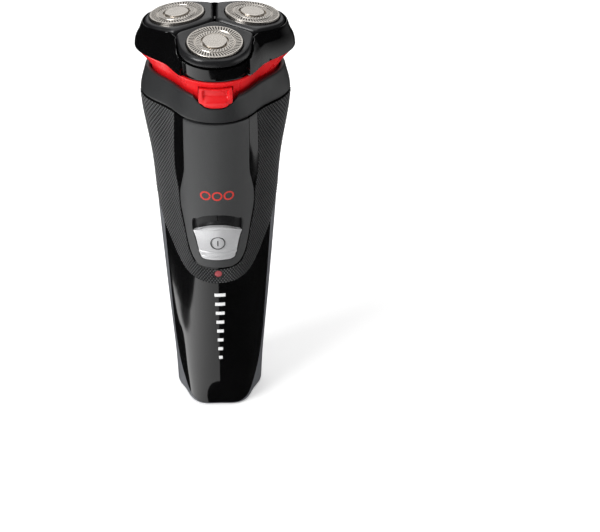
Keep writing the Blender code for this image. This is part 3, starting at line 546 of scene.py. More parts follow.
def paint_valley_shade(material, relief):
    """Dims the colour and the gloss in the valleys of a relief."""
    shader = shader_in(material)
    level = spread(material, relief, 0.10, 1.5, 0.15, 0.75)
    valley_shaded_colour = mix_colours(material, "MULTIPLY")
    link(material, shader.inputs["Base Color"].links[0].from_socket, valley_shaded_colour.inputs["A"])
    link(material, level, valley_shaded_colour.inputs["B"])
    link(material, valley_shaded_colour.outputs["Result"], shader.inputs["Base Color"])
    link(material, level, shader.inputs["Specular IOR Level"])


def grained(name, colour, metallic, wear, roughness, patches, tones, *relief):
    """A finish whose roughness and tone run between two values with a noise, then its relief.

    A noise is its waves per metre and its detail. Relief is a noise and its depth in millimetres.
    """
    material = blank(name, colour, metallic)
    vary_roughness(material, noise(material, *wear), *roughness)
    vary_tone(material, noise(material, *patches), colour, *tones)
    if relief:
        grain, depth = relief
        add_bump(material, noise(material, *grain), depth)
    return material


# Colour setting, metallic, then what grained takes.
BRUSHED = 900.0, 4.0, (0.15, 1.0, 4.0)
SPECKLE = 2600.0, 4.0
FINE = 5200.0, 2.0
MEDIUM = 4200.0, 3.0
SOFT = 3000.0, 3.0
FINISHES = {
    "gloss_black": (
        "gloss", 0.0, (70.0,), (0.035, 0.075), (70.0,), (0.85, 1.2), (260.0, 2.0), 0.0008,
    ),
    "matte_black": ("matte", 0.0, (120.0,), (0.36, 0.46), FINE, (0.88, 1.15), FINE, 0.012),
    "frame_satin": ("frame", 0.0, (120.0,), (0.26, 0.34), FINE, (0.88, 1.15), FINE, 0.005),
    "panel_satin": ("panel", 0.0, (90.0,), (0.36, 0.44), MEDIUM, (0.92, 1.1), MEDIUM, 0.008),
    "grip_rubber": ("grip", 0.0, (300.0,), (0.36, 0.50), SOFT, (0.85, 1.2), SOFT, 0.015),
    "red_plastic": ("red", 0.0, (110.0,), (0.24, 0.34), (60.0,), (0.94, 1.0), (3600.0, 2.0), 0.004),
    "silver_paint": (
        "silver", 0.35, BRUSHED, (0.28, 0.40), (6500.0, 1.0), (0.90, 1.12), BRUSHED, 0.006,
    ),
    "rear_satin": ("rear", 0.25, (80.0,), (0.32, 0.42), FINE, (0.92, 1.1), FINE, 0.005),
    "cap_steel": ("steel", 1.0, SPECKLE, (0.22, 0.34), SPECKLE, (0.93, 1.06)),
}
# Inner pieces and small parts: colour, roughness, metallic, waves of grain per metre, its depth.
PLAIN_FINISHES = {
    # painted shade: a near-black finish for the floors of the caps' slots
    "dark_gap": ((0.012, 0.011, 0.010), 0.55, 0.0, 3000.0, 0.010),
    "mark_white": ((0.80, 0.80, 0.80), 0.40, 0.0, 4000.0, 0.002),
    "mark_red": ((0.62, 0.030, 0.020), 0.40, 0.0, 4000.0, 0.002),
    "mark_grey": ((0.045, 0.045, 0.048), 0.45, 0.0, 4000.0, 0.002),
    "lamp_red": ((0.36, 0.07, 0.08), 0.22, 0.0, 2500.0, 0.004),
    "steel_parts": ((0.58, 0.57, 0.55), 0.28, 1.0, 2400.0, 0.010),
    "nylon_parts": ((0.70, 0.69, 0.65), 0.48, 0.0, 1800.0, 0.012),
    "moulded_parts": ((0.024, 0.025, 0.026), 0.46, 0.0, 3600.0, 0.014),
    "seal_parts": ((0.030, 0.031, 0.032), 0.66, 0.0, 2600.0, 0.015),
    "board_parts": ((0.02, 0.16, 0.06), 0.42, 0.0, 1500.0, 0.010),
    "cell_parts": ((0.03, 0.12, 0.35), 0.38, 0.0, 900.0, 0.006),
    "pin_parts": ((0.72, 0.52, 0.22), 0.30, 1.0, 2000.0, 0.006),
}


@functools.cache
def finish(name):
    """The finish of that name, made once."""
    if name in PLAIN_FINISHES:
        colour, roughness, metallic, scale, depth = PLAIN_FINISHES[name]
        grain = scale, 3.0
        wear = roughness * 0.85, min(roughness * 1.2, 1.0)
        return grained(name, colour, metallic, grain, wear, grain, (0.88, 1.1), grain, depth)
    setting, *rest = FINISHES[name]
    material = grained(name, tuple(getattr(colours(), setting)), *rest)
    if name == "grip_rubber":
        # painted shade: the grip's colour and gloss are dimmed in the knurl's valleys
        paint_valley_shade(material, carried(material, "relief"))
    if name == "red_plastic":
        shader = shader_in(material)
        shader.inputs["Subsurface Weight"].default_value = 0.12
        shader.inputs["Subsurface Radius"].default_value = (1.0, 0.12, 0.08)
        shader.inputs["Subsurface Scale"].default_value = 0.0016
    if name == "cap_steel":
        add_turning_rings(material)
        add_bump(material, noise(material, *SPECKLE), 0.003)
    return material


def add_turning_rings(material):
    """Fine rings that follow the distance from each cap's axis, which the mesh carries."""
    rings = node(material, "ShaderNodeTexNoise", Scale=9.0, Detail=5.0)
    rings.noise_dimensions = "1D"
    link(material, carried(material, "turned_radius"), rings.inputs["W"])
    add_bump(material, rings.outputs["Fac"], 0.006)


# ---- outlines of the handle's skins
def front_place(u, v, inset, margin=0.0):
    low, high = FRONT_EDGE[0][0] - margin, SEAM - GAP + (1.0 if margin else 0.0)
    z = low + (high - low) * v**1.6
    half = smooth(z + margin, FRONT_EDGE) + margin / math.radians(section_at(z)[3])
    return skin(half * (2 * u - 1), z, inset)


def panel_place(u, v, inset, margin=0.0):
    low = SEAM - PANEL_EDGE[-1][0] - margin
    high = SEAM - PANEL_EDGE[0][0] + (2.0 if margin else 0.0)
    z = low + (high - low) * v**1.5
    drop = SEAM - max(z, low + margin)
    half = smooth(drop, PANEL_EDGE) + margin
    return skin(angle_at(half, z) * (2 * u - 1), z, inset)


def grip_place(u, v, inset, margin=0.0):
    """u runs round the U from its top left end, and v across it."""
    signed = [(-x, drop, -turn, low) for x, drop, turn, low in GRIP_EDGE]
    signed += GRIP_EDGE[-2::-1]
    along = u * (len(signed) - 1)
    values = [smooth(along, [(k, row[j]) for k, row in enumerate(signed)]) for j in range(4)]
    inner = Vector((angle_at(values[0], SEAM - values[1]), SEAM - values[1]))
    outer = Vector((values[2], SEAM - values[3]))
    degree = math.radians(1) * section_at(round(SEAM - values[1], 3))[2]
    across = Vector(((outer.x - inner.x) * degree, outer.y - inner.y)).normalized() * margin
    across.x /= degree
    inner -= across
    outer += across
    if margin and u in (0.0, 1.0):
        inner.y += 2.0
        outer.y += 2.0
    spot = inner.lerp(outer, v)
    return skin(spot.x, spot.y, inset)


def slider_half(z, margin=0.0, travel=0.0):
    """Half-width of the slider, or of its window, at a height."""
    bottom = SLIDER_TOP - SLIDER_H
    edge = (
        (bottom - margin, 4.7), (bottom + 0.5 - margin, 5.9), (bottom + 1.6, 6.5),
        (bottom + 4.0, 7.1), (bottom + 8.0, 8.0), (SLIDER_TOP - 2.8, 8.9),
        (SLIDER_TOP - 2.0 + travel, 8.9), (SLIDER_TOP - 0.9 + travel + margin, 8.4),
        (SLIDER_TOP + travel + margin, 7.2),
    )
    return smooth(z, edge) + margin


def slider_place(u, v, inset, margin=0.0, travel=0.0):
    low, high = SLIDER_TOP - SLIDER_H - margin, SLIDER_TOP + travel + margin
    z = low + (high - low) * (0.5 - 0.5 * math.cos(math.pi * v))
    angle = angle_at(slider_half(z, margin, travel), z) * (2 * u - 1)
    drop = SLIDER_CROWN * abs(2 * u - 1) ** 2.3 * step(v, 0.45, 1.0)
    return skin(angle, z - drop, inset)


def grip_pocket(depths):
    place = functools.partial(grip_place, margin=POCKET_MARGIN)
    return slab("grip_pocket", 120, 8, place, *depths)


def lamp_hole():
    return rod("lamp_hole", LAMP_HOLE_R, 10, 40, at(0, 0, LAMP_Z) @ FACING_FRONT)


# ---- handle
def make_rear_case():
    """A closed cup: from the middle of its foot, up its outside, over its rim, down its inside."""
    wall = sizes().skin_wall
    top = SEAM - GAP
    foot = 1.3
    stations = [
        (0.0, 0.0, 0.0), (0.5, 0.0, 0.0), (1.0, foot, 0.0), (1.0, 0.8, 0.1), (1.0, 0.35, 0.4),
        (1.0, 0.1, 0.8),
    ]
    stations += [(1.0, 0.0, foot + (top - foot) * k / 90) for k in range(91)]
    stations += [(1.0, wall, top - (top - wall - 1.0) * k / 40) for k in range(41)]
    stations += [(1.0, wall + 1.0, wall), (0.5, wall, wall), (0.0, wall, wall)]
    case = ring_sheet("rear_case", 144, loops_of(case_loop, ("share", "inset", "z"), stations))
    window = functools.partial(front_place, margin=0.22)
    cut(case, slab("front_window", 90, 110, window, -3.0, 6.0), grip_pocket((-2.0, 1.5)))
    round_edges(case, 0.12, 2, 50)
    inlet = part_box("charging_inlet")
    deselect()
    bpy.ops.mesh.primitive_cube_add(size=1.0, location=(0, (inlet[0].y + inlet[1].y) / 2, 0))
    hole = name_piece(bpy.context.object, "inlet_hole")
    hole.data.transform(Matrix.Diagonal((8.6 * MM, 4.8 * MM, 20 * MM, 1)))
    cut(case, round_edges(settle(hole), 0.9, 3))
    for screw in ("case_screw_lower", "case_screw_upper"):
        low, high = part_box(screw)
        z = (low.z + high.z) / 2 / MM
        floor = section_at(round(z, 3))[-1] - 1.1
        cut(case, rod("screw_recess", 2.6, floor, 40, at(0, 0, z) @ FACING_BACK))
    return finish_piece(case, "rear_satin", "handle", "rear_shell", "rear_shell")


def case_loop(angle, share, inset, z):
    return polar(angle, (reach(angle, section_at(z)) - inset) * share, z)


def make_front_case():
    case = slab("front_case", 90, 120, front_place, 0.0, sizes().skin_wall + 0.6)
    round_edges(case, sizes().edge_radius, 3, 50)
    place = functools.partial(panel_place, margin=POCKET_MARGIN)
    cut(case, slab("panel_pocket", 40, 60, place, *PANEL_POCKET))
    cut(case, grip_pocket(GRIP_POCKET), lamp_hole())
    return finish_piece(case, "gloss_black", "handle", "gloss_black", "front_shell")


def make_panel():
    panel = slab("front_panel_skin", 44, 90, panel_place, *PANEL_DEPTHS)
    window = functools.partial(slider_place, margin=0.5, travel=SWITCH_TRAVEL + 0.4)
    cut(panel, slab("slider_window", 30, 40, window, -2.0, 3.0))
    round_edges(panel, 0.22, 2, 50)
    finish_piece(panel, "panel_satin", "handle", "panel", "front_panel")
    floor = functools.partial(slider_place, margin=0.7, travel=SWITCH_TRAVEL + 0.6)
    bed = slab("switch_bed", 24, 30, floor, *BED_DEPTHS)
    # painted shade: the bed under the slider's window takes the darker frame finish, so the recess
    # reads dark
    return finish_piece(bed, "frame_satin", "handle", "panel")


def make_tick():
    """The small raised tick above the slider."""
    low, high = SLIDER_TOP + 1.5, SLIDER_TOP + 3.7

    def place(u, v, inset):
        return skin((u - 0.5) * 1.1, low + (high - low) * v, inset)

    tick = slab("switch_tick", 2, 6, place, *TICK_DEPTHS)
    return finish_piece(tick, "gloss_black", "handle", "panel")


def make_grip():
    """A knurled band round the front, cut to the grip's outline."""
    pitch, depth = sizes().knurl_pitch, sizes().knurl_depth
    widest, low, high = 114.0, SEAM - 72.0, SEAM + 1.0
    mean_radius = 22.0
    columns = 2 * round(math.radians(2 * widest) * mean_radius / pitch)
    rows = 2 * round((high - low) / (1.35 * pitch))
    deselect()
    bpy.ops.mesh.primitive_grid_add(x_subdivisions=columns, y_subdivisions=rows, size=1.0)
    grip = name_piece(bpy.context.object, "grip_skin")
    raised = []
    for point in grip.data.vertices:
        u, v = point.co.x + 0.5, point.co.y + 0.5
        peak = (round(u * columns) + round(v * rows)) % 2
        raised.append(peak)
        inset = VALLEY_DEPTH - peak * depth
        point.co = skin(widest * (2 * u - 1), low + (high - low) * v, inset) * MM
    split_diamonds(grip, raised)
    thicken(grip, 2.6)
    combine(grip, slab("grip_outline", 200, 10, grip_place, -1.5, 1.15), "INTERSECT")
    cut(grip, lamp_hole())
    store_relief(grip, depth)
    return finish_piece(grip, "grip_rubber", "handle", "grip_rubber", "grip_sleeve", angle=18.0)


def store_relief(item, depth):
    """Keeps how far each point stands out of the grip's valleys, from 0 to 1, for its finish."""
    values = []
    for point in item.data.vertices:
        spot = point.co / MM
        angle = math.degrees(math.atan2(spot.x, -spot.y))
        valley = reach(angle, section_at(round(spot.z, 3))) - VALLEY_DEPTH
        values.append(min(max((spot.xy.length - valley) / depth, 0.0), 1.0))
    store(item, "relief", values)


def split_diamonds(item, raised):
    """Splits every quad along its two low corners, which leaves rows of pyramids."""
    shape = bmesh.new()
    shape.from_mesh(item.data)
    for face in list(shape.faces):
        lows = [corner for corner in face.verts if not raised[corner.index]]
        bmesh.utils.face_split(face, lows[0], lows[1])
    shape.to_mesh(item.data)
    shape.free()


def make_lamp():
    front = front_at(LAMP_Z)
    place = at(0, 0, LAMP_Z) @ FACING_FRONT
    bezel = (
        (2.0, front - 1.6), (2.0, front - 0.1), (1.85, front + 0.05), (1.55, front + 0.05),
        (1.45, front - 0.1), (1.45, front - 0.6), (0.0, front - 0.6),
    )
    ring = turned("lamp_bezel", bezel, 40, place)
    finish_piece(ring, "matte_black", "handle", "black_plastic")
    dome = (1.4, front - 0.55), (1.4, front - 0.2), (1.1, front - 0.05), (0.0, front)
    lens = turned("lamp_window", dome, 40, place)
    return finish_piece(lens, "lamp_red", "handle", "lens", "lamp_lens")


# ---- power slider
def slider_relief(z):
    """How far the slider's face stands out: a lip at its top, a dish and a ridge near its foot."""
    down = SLIDER_TOP - z
    lip = 0.55 * (1 - step(down, 1.0, 1.7))
    foot = 0.30 * (step(down, 11.6, 12.1) - step(down, 12.6, 13.1)) + 0.25 * step(down, 13.6, 14.2)
    dish = -0.25 * math.sin(math.pi * min(max((down - 1.6) / 10.0, 0.0), 1.0))
    return lip + foot + dish


def slider_face(u, v, inset):
    point = slider_place(u, v, 0.0)
    angle = math.degrees(math.atan2(point.x, -point.y))
    level = SLIDER_TOP - SLIDER_H * (0.5 + 0.5 * math.cos(math.pi * v))
    shift = inset if inset > 0 else inset - slider_relief(level)
    return skin(angle, point.z, shift)


def make_slider():
    slider = slab("power_slider_skin", 36, 120, slider_face, *SLIDER_DEPTHS)
    round_edges(slider, 0.3, 3, 50)
    finish_piece(slider, "silver_paint", "power_switch", "silver_paint", "power_slider")
    middle = SLIDER_TOP - 7.7
    front = front_at(middle) - SLIDER_DEPTHS[0] + slider_relief(middle)
    line_r = 0.2
    deselect()
    bpy.ops.mesh.primitive_torus_add(
        major_radius=2.6 * MM, minor_radius=line_r * MM, major_segments=64, minor_segments=10,
        location=(0, -front * MM, middle * MM), rotation=(math.radians(90), 0, 0),
    )
    mark = settle(name_piece(bpy.context.object, "power_mark"))
    bar = rod("power_bar", line_r, middle - 1.1, middle + 1.1, at(0, -(front + 0.02), 0), 16)
    return finish_piece(join(mark, bar), "mark_grey", "power_switch", "silver_paint")


# ---- printed marks
def make_marks():
    """Three rings, one for each head, and a column of bars on the lower front."""
    for k, x in enumerate((-4.3, 0.0, 4.3), 1):
        ring = printed_ring(f"head_mark_{k}", x, z=SEAM - 31.0, radius=1.95, width=0.62)
        finish_piece(ring, "mark_red", "handle", "panel")
    for k in range(8):
        place = functools.partial(bar_place, z=SEAM - 76.5 - 4.4 * k, half=2.1 - 0.2 * k)
        bar = slab(f"level_mark_{k + 1}", 8, 4, place, -0.06, 0.2)
        finish_piece(bar, "mark_white", "handle", "gloss_black")


def bar_place(u, v, inset, z, half):
    """A bar 1.5 mm high, 1.5 degrees to the right of the middle."""
    return skin(angle_at(half, z) * (2 * u - 1) + 1.5, z + (v - 0.5) * 1.5, inset)


def printed_ring(name, x, z, radius, width):
    def place(u, v, inset):
        turn = 2 * math.pi * u
        out = radius - width * v
        height = z + out * math.sin(turn)
        return skin(angle_at(x + out * math.cos(turn), height), height, inset)

    ring = slab(name, 40, 2, place, -0.09, 0.2)
    return in_edit(ring, merge, face_out)


# ---- collar, hair chamber and button
def make_collar():
    low = SEAM + GAP
    wall = 1.7
    rim = COLLAR_TOP
    stations = [(wall, low), (0.45, low), (0.15, low + 0.12), (0.0, low + 0.45)]
    stations += [(0.0, low + 0.45 + (rim - 1.2 - low) * k / 14) for k in range(1, 15)]
    stations += [
        (0.12, rim - 0.35), (0.38, rim - 0.1), (0.7, rim), (wall - 0.4, rim),
        (wall - 0.1, rim - 0.15), (wall, rim - 0.6), (wall, low),
    ]
    collar = ring_sheet("collar_skin", 180, loops_of(skin, ("inset", "z"), stations))
    cut(collar, button_tool("collar_notch", 0.45, 2.2))
    round_edges(collar, 0.14, 2, 50)
    return finish_piece(collar, "matte_black", "handle", "collar", "collar_band")


def button_outline(margin=0.0, flare=0.0):
    """Half-outline of the release button from the front: (half-width, height) from its foot up."""
    foot = NECK_TOP - 10.5 - margin
    half = BUTTON_HALF_W + margin
    rows = [(2.0 + margin, foot), (3.6 + margin, foot + 0.5), (4.6 + margin, foot + 1.3)]
    rows += [(half, COLLAR_TOP - 1.9)]
    if flare:
        return rows + [(half + flare * 0.75, COLLAR_TOP - 0.3), (half + flare, COLLAR_TOP + 1.5)]
    return rows + [(half, NECK_TOP - 2.7 + margin)]


def button_tool(name, margin, flare=0.0):
    """A deep block with the button's outline."""
    rows = button_outline(margin, flare)
    last = len(rows) - 1

    def place(u, v, depth):
        half, z = rows[round(v * last)]
        return Vector((half * (2 * u - 1), depth, z))

    return slab(name, 8, last, place, -40.0, -17.0)


def neck_section(z):
    share = min(max((z - COLLAR_TOP) / NECK_RISE, 0.0), 1.0)
    low = tuple(size - NECK_INSET for size in RIM_SECTION)
    high = tuple(size - 0.35 for size in HEAD_BOTTOM_SECTION)
    return mixed(low, high, share**1.25)


def neck_point(angle, z, inset):
    return polar(angle, reach(angle, neck_section(round(z, 4))) - inset, z)


def make_neck():
    """The hair chamber: its closed underside, its flaring side, its rim and its floor."""
    under, floor = COLLAR_TOP - 2.3, COLLAR_TOP - 0.8
    heights = [under] + [COLLAR_TOP - 1.5 + (NECK_RISE + 1.1) * k / 16 for k in range(17)]
    stations = [(0.0, z) for z in heights]
    stations += [
        (0.12, NECK_TOP - 0.12), (0.4, NECK_TOP), (1.8, NECK_TOP), (2.0, NECK_TOP - 0.3),
        (1.9, floor),
    ]
    loops = loops_of(flat_disc, ("z", "share"), [(under, 0.0), (under, 0.5)])
    loops += loops_of(neck_point, ("inset", "z"), stations)
    loops += loops_of(flat_disc, ("z", "share"), [(floor, 0.45), (floor, 0.0)])
    neck = ring_sheet("chamber_skin", 180, loops)
    for k in (1, 2, 3):
        spindle = middle_of(f"drive_spindle_{k}")
        cut(neck, rod("spindle_hole", 2.6, 130, 160, at(spindle.x, spindle.y, 0)))
    cut(neck, button_tool("neck_notch", 0.28))
    round_edges(neck, 0.12, 2, 55)
    pin_low, pin_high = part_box("hinge_pin")
    half = (pin_high.x - pin_low.x) / 2 / MM
    for side in (-1, 1):
        ends = sorted((side * LUG_START, side * half))
        combine(neck, knuckle("neck_knuckle", *ends, foot=-3.4), "UNION")
    return finish_piece(neck, "red_plastic", "handle", "red_plastic", "hair_chamber")


def flat_disc(angle, z, share):
    return polar(angle, (reach(angle, neck_section(round(z, 4))) - 1.9) * share, z)


def knuckle(name, low, high, foot):
    """A barrel on the hinge axis, with a web as high as foot, down or up into the wall."""
    axis = middle_of("hinge_pin")
    barrel = rod(name, 1.6, low, high, at(0, axis.y, axis.z) @ ALONG_X, 40)
    inner = axis.y - 3.6
    size = (high - low) * MM, (axis.y - inner) * MM, abs(foot) * MM
    deselect()
    bpy.ops.mesh.primitive_cube_add(
        size=1.0,
        location=((low + high) / 2 * MM, (inner + axis.y) / 2 * MM, (axis.z + foot / 2) * MM),
    )
    web = name_piece(bpy.context.object, name + "_web")
    web.data.transform(web.matrix_world @ Matrix.Diagonal((*size, 1)))
    web.matrix_world = Matrix.Identity(4)
    combine(barrel, web, "UNION")
    return round_edges(barrel, 0.15, 2, 50)


def button_face(u, v, inset):
    """The button's front: a scooped thumb rest, over a chin that stands proud of the collar."""
    rows = button_outline()
    top, foot = rows[-1][1], rows[0][1]
    z = foot + (top - foot) * v
    half = smooth(z, [(height, width) for width, height in rows])
    x = half * (2 * u - 1)
    if z > COLLAR_TOP:
        front = mixed(RIM_SECTION, HEAD_BOTTOM_SECTION, (z - COLLAR_TOP) / NECK_RISE)[0]
    else:
        front = front_at(z)
    y = -math.sqrt(front**2 - 1.35 * x**2) + 0.25
    if inset > 0:
        return Vector((x, y + inset, z))
    across = 1 - step(abs(x), 3.9, 4.9)
    above = step(z, COLLAR_TOP - 0.9, COLLAR_TOP + 1.0) * (1 - step(z, top - 0.9, top - 0.3))
    below = (1 - step(z, COLLAR_TOP - 1.6, COLLAR_TOP - 0.4)) * step(z, foot, foot + 1.2)
    scoop = 1.15 * across * above
    chin = 0.55 * below * (1 - step(abs(x), 3.2, 5.6))
    return Vector((x, y + scoop - chin, z))


def make_button():
    button = slab("release_button_skin", 44, 60, button_face, 0.0, 1.7)
    round_edges(button, 0.22, 2, 50)
    return finish_piece(button, "red_plastic", "release_button", "red_plastic", "release_button")


# ---- shaving head
def cap_place(azimuth):
    """A cap's frame: its origin on the cap plane, +Y away from the head's axis, +Z out of it."""
    spot = polar(azimuth, CAP_RING_R, CAP_PLANE)
    turn = Matrix.Rotation(math.radians(azimuth - 180), 4, "Z")
    lean = Matrix.Rotation(-math.radians(CAP_TILT), 4, "X")
    return at(spot.x, spot.y, spot.z) @ turn @ lean


def deck_z(spot):
    """Height of the head's deck: under each cap it leans outwards as the cap's frame does."""
    turns = [math.radians(azimuth) for azimuth in CAP_AZIMUTHS]
    out = max(spot.x * math.sin(turn) - spot.y * math.cos(turn) for turn in turns)
    lean = math.radians(CAP_TILT)
    return CAP_PLANE - (FRAME_DEPTH + 0.9) / math.cos(lean) - (out - CAP_RING_R) * math.tan(lean)


def skirt_bulge(turn, share):
    """How far the sides of the skirt swell."""
    return 0.85 * math.sin(0.75 * math.pi * share) * step(turn, 31.0, 50.0)


def head_point(angle, share, inset=0.0, drop=0.0):
    """The head's skirt from its rim (0) to its deck (1). At the front it steps back as a window."""
    section = mixed(HEAD_BOTTOM_SECTION, HEAD_TOP_SECTION, share)
    turn = abs((angle + 180) % 360 - 180)
    depth = 1.05 - 0.45 * share + 0.8 * (turn / 30) ** 2 * (1 - share)
    window = depth * (1 - step(turn, 29.5, 31.5)) * step(share, -0.1, 0.06)
    out = reach(angle, section) - inset - window + skirt_bulge(turn, share)
    spot = polar(angle, out, HEAD_BOTTOM)
    spot.z += (deck_z(spot) - HEAD_BOTTOM) * share - drop
    return spot


def in_frame(angle, out):
    """Whether the spot at that angle and distance from the head's axis lies under a frame."""
    for azimuth in CAP_AZIMUTHS:
        apart = math.radians(angle - azimuth)
        across, away = -out * math.sin(apart), out * math.cos(apart) - CAP_RING_R
        if math.hypot(across, away) < frame_reach(math.atan2(across, away)):
            return True
    return False


@functools.cache
def frames_edge(angle):
    """Distance from the head's axis to the outermost frame's outline, at a whole angle."""
    out = 30.0
    while out > 12.0 and not in_frame(angle, out):
        out -= 0.25
    low, high = out, out + 0.25
    for _ in range(8):
        middle = (low + high) / 2
        low, high = (middle, high) if in_frame(angle, middle) else (low, middle)
    return low


def soft_frames_edge(angle):
    """The same edge, evened out over a few degrees so that the skirt has no ripples."""
    near = [frames_edge(round(angle + turn) % 360) for turn in range(-7, 8)]
    return sum(near) / len(near)


def shoulder_point(angle, share, inset=0.0, drop=0.0):
    """The skirt above its deck: it rises round the side frames and leaves them a thin gap."""
    turn = abs((angle + 180) % 360 - 180)
    rise = step(turn, 33.0, 43.0)
    low = reach(angle, HEAD_TOP_SECTION) + skirt_bulge(turn, 1.0)
    high = min(low, max(soft_frames_edge(angle) + 0.8, 17.6))
    out = low + (high - low) * rise * (1.0 if inset >= 0.4 else share)
    spot = polar(angle, out - inset, HEAD_BOTTOM)
    spot.z = deck_z(spot) + SHOULDER_H * rise * share - drop
    return spot


def make_head_case():
    """Its rim, its skirt, its shoulder round the side frames, its deck and its inside."""
    names = ("share", "inset", "drop")
    skirt = [(0.0, 0.45, 0.0), (0.0, 0.12, -0.08), (0.0, 0.0, 0.0), (0.02, 0.0, 0.0)]
    skirt += [(0.05 + 0.95 * k / 16, 0.0, 0.0) for k in range(17)]
    shoulder = [(k / 6, 0.0, 0.0) for k in range(1, 6)]
    shoulder += [
        (1.0, 0.03, 0.12), (1.0, 0.15, 0.0), (1.0, 0.35, 0.05), (1.0, 0.4, 0.3), (0.02, 0.6, 0.0),
    ]
    inside = [
        (1.0, 4.6, 0.0), (1.0, 12.0, 0.0), (1.0, 12.0, 1.3), (1.0, 1.9, 1.3), (0.4, 1.8, 0.0),
        (0.0, 1.8, 0.0), (0.0, 0.45, 0.0),
    ]
    loops = loops_of(head_point, names, skirt) + loops_of(shoulder_point, names, shoulder)
    case = ring_sheet("head_case", 240, loops + loops_of(head_point, names, inside))
    for azimuth in CAP_AZIMUTHS:
        cut(case, rod("deck_bore", 9.4, -11, -1, cap_place(azimuth), 72))
    half = HEAD_BARREL_HALF
    combine(case, knuckle("head_knuckle", -half, half, foot=3.2), "UNION")
    axis = middle_of("hinge_pin")
    for side in (-1, 1):
        ends = sorted((side * 3.81, side * 7.9))
        cut(case, rod("lug_room", 2.1, *ends, at(0, axis.y, axis.z) @ ALONG_X))
    round_edges(case, 0.1, 2, 60)
    return finish_piece(case, "gloss_black", "head", "gloss_black", "head_shell")


def frame_reach(turn):
    """Distance from a cap's axis to its frame's outline: flats that meet in soft corners."""
    wide, out = 12.9, 12.0
    flats = []
    for a in (0.0, 20.0, 40.0, 60.0):
        support = math.hypot(wide * math.sin(math.radians(a)), out * math.cos(math.radians(a)))
        flats += [(a, support), (-a, support)]
    flats += [(83.0, 12.95), (-83.0, 12.95), (150.0, 13.1), (-150.0, 13.1)]
    sharp = 22
    total = sum(max(0.0, math.cos(turn - math.radians(a)) / d) ** sharp for a, d in flats)
    return total ** (-1 / sharp)


def frame_point(angle, inset, z, share):
    """A point between the frame's round hole (0) and its outline (1)."""
    turn = math.radians(-angle)
    hole = CAP_R + 0.28
    radius = hole + (frame_reach(turn) - inset - hole) * share
    return Vector((radius * math.sin(turn), radius * math.cos(turn), z))


def make_frame(k, place):
    foot = -FRAME_DEPTH
    stations = (
        (0.0, foot, 0.0), (0.25, foot, 1.0), (0.05, foot + 0.2, 1.0), (0.0, foot + 0.5, 1.0),
        (0.0, -2.6, 1.0), (0.03, -2.1, 1.0), (0.12, -1.65, 1.0), (0.30, -1.25, 1.0),
        (0.58, -0.92, 1.0), (0.95, -0.70, 1.0), (1.4, -0.60, 1.0), (0.9, -0.62, 0.7),
        (0.6, -0.70, 0.4), (0.3, -0.78, 0.15), (0.0, -0.82, 0.04), (0.0, -0.95, 0.0),
        (0.0, foot, 0.0),
    )
    loops = loops_of(frame_point, ("inset", "z", "share"), stations)
    item = ring_sheet(f"frame_skin_{k}", 144, loops)
    item.data.transform(place)
    return finish_piece(item, "frame_satin", f"frame_{k}", "frame_plastic", f"head_frame_{k}")


def make_cap(k, place):
    """A cap with two tracks of slots between turned lands."""
    columns = 2 * sizes().outer_slots
    profile = (
        (9.4, -1.9), (CAP_R, -1.9), (CAP_R, -0.4), (9.94, -0.16), (9.8, -0.03), (9.6, 0.0),
        (OUTER_TRACK[0], 0.0), (8.4, 0.03), (OUTER_TRACK[1], 0.0), (7.35, -0.02), (7.2, -0.22),
        (6.95, -0.22), (6.8, -0.02), (INNER_TRACK[0], 0.0), (5.95, 0.02), (INNER_TRACK[1], 0.0),
        (5.12, -0.02), (5.0, -0.3), (4.95, -0.9), (DISC_R + 0.1, -0.9), (0.0, -0.9),
    )
    cap = ring_sheet(f"cap_skin_{k}", columns, loops_of(cap_point, ("radius", "z"), profile))
    for look in ("cap_steel", "dark_gap"):
        cap.data.materials.append(finish(look))
    sink_slots(cap, OUTER_TRACK, 2, columns)
    sink_slots(cap, INNER_TRACK, 3, columns)
    store_radius(cap)
    cap.data.transform(place)
    return finish_piece(cap, None, f"cap_{k}", "cap_steel", f"shaving_cap_{k}", angle=30.0)


def track_slant(radius):
    """Degrees by which the cap's points are turned at a radius, so that the slots slant."""
    outer, inner = TRACK_SLANT
    return outer * step(radius, 7.4, 9.3) + inner * (1 - step(radius, 5.3, 6.6))


def cap_point(angle, radius, z):
    return polar(angle + track_slant(radius), radius, z)


def sink_slots(cap, track, every, columns):
    """Sinks one face in every few round a track into a dark slot."""
    shape = bmesh.new()
    shape.from_mesh(cap.data)
    bands = {}
    for face in shape.faces:
        centre = face.calc_center_median() / MM
        radius = centre.xy.length
        if face.normal.z > 0.9 and track[1] < radius < track[0]:
            bands.setdefault(radius > sum(track) / 2, []).append(face)
    chosen = []
    for faces in bands.values():
        faces.sort(key=lambda f: slot_order(f, columns))
        chosen += faces[::every]
    sunk = bmesh.ops.extrude_face_region(shape, geom=chosen)["geom"]
    floors = [part for part in sunk if isinstance(part, bmesh.types.BMFace)]
    bmesh.ops.delete(shape, geom=chosen, context="FACES_ONLY")
    corners = {corner for face in floors for corner in face.verts}
    bmesh.ops.translate(shape, vec=(0, 0, -SLOT_DEPTH * MM), verts=list(corners))
    # the floors get the near-black finish: painted shade inside the slots
    for face in floors:
        face.material_index = 1
    shape.to_mesh(cap.data)
    shape.free()


def slot_order(face, columns):
    """Column of a face round the cap, as it was before the slots' slant."""
    centre = face.calc_center_median() / MM
    angle = math.degrees(math.atan2(centre.x, -centre.y)) - track_slant(centre.xy.length)
    return int((angle % 360) / (360 / columns))


def store_radius(item):
    """Keeps each point's distance from the turning axis, in millimetres, for the turned finish."""
    store(item, "turned_radius", [point.co.xy.length / MM for point in item.data.vertices])


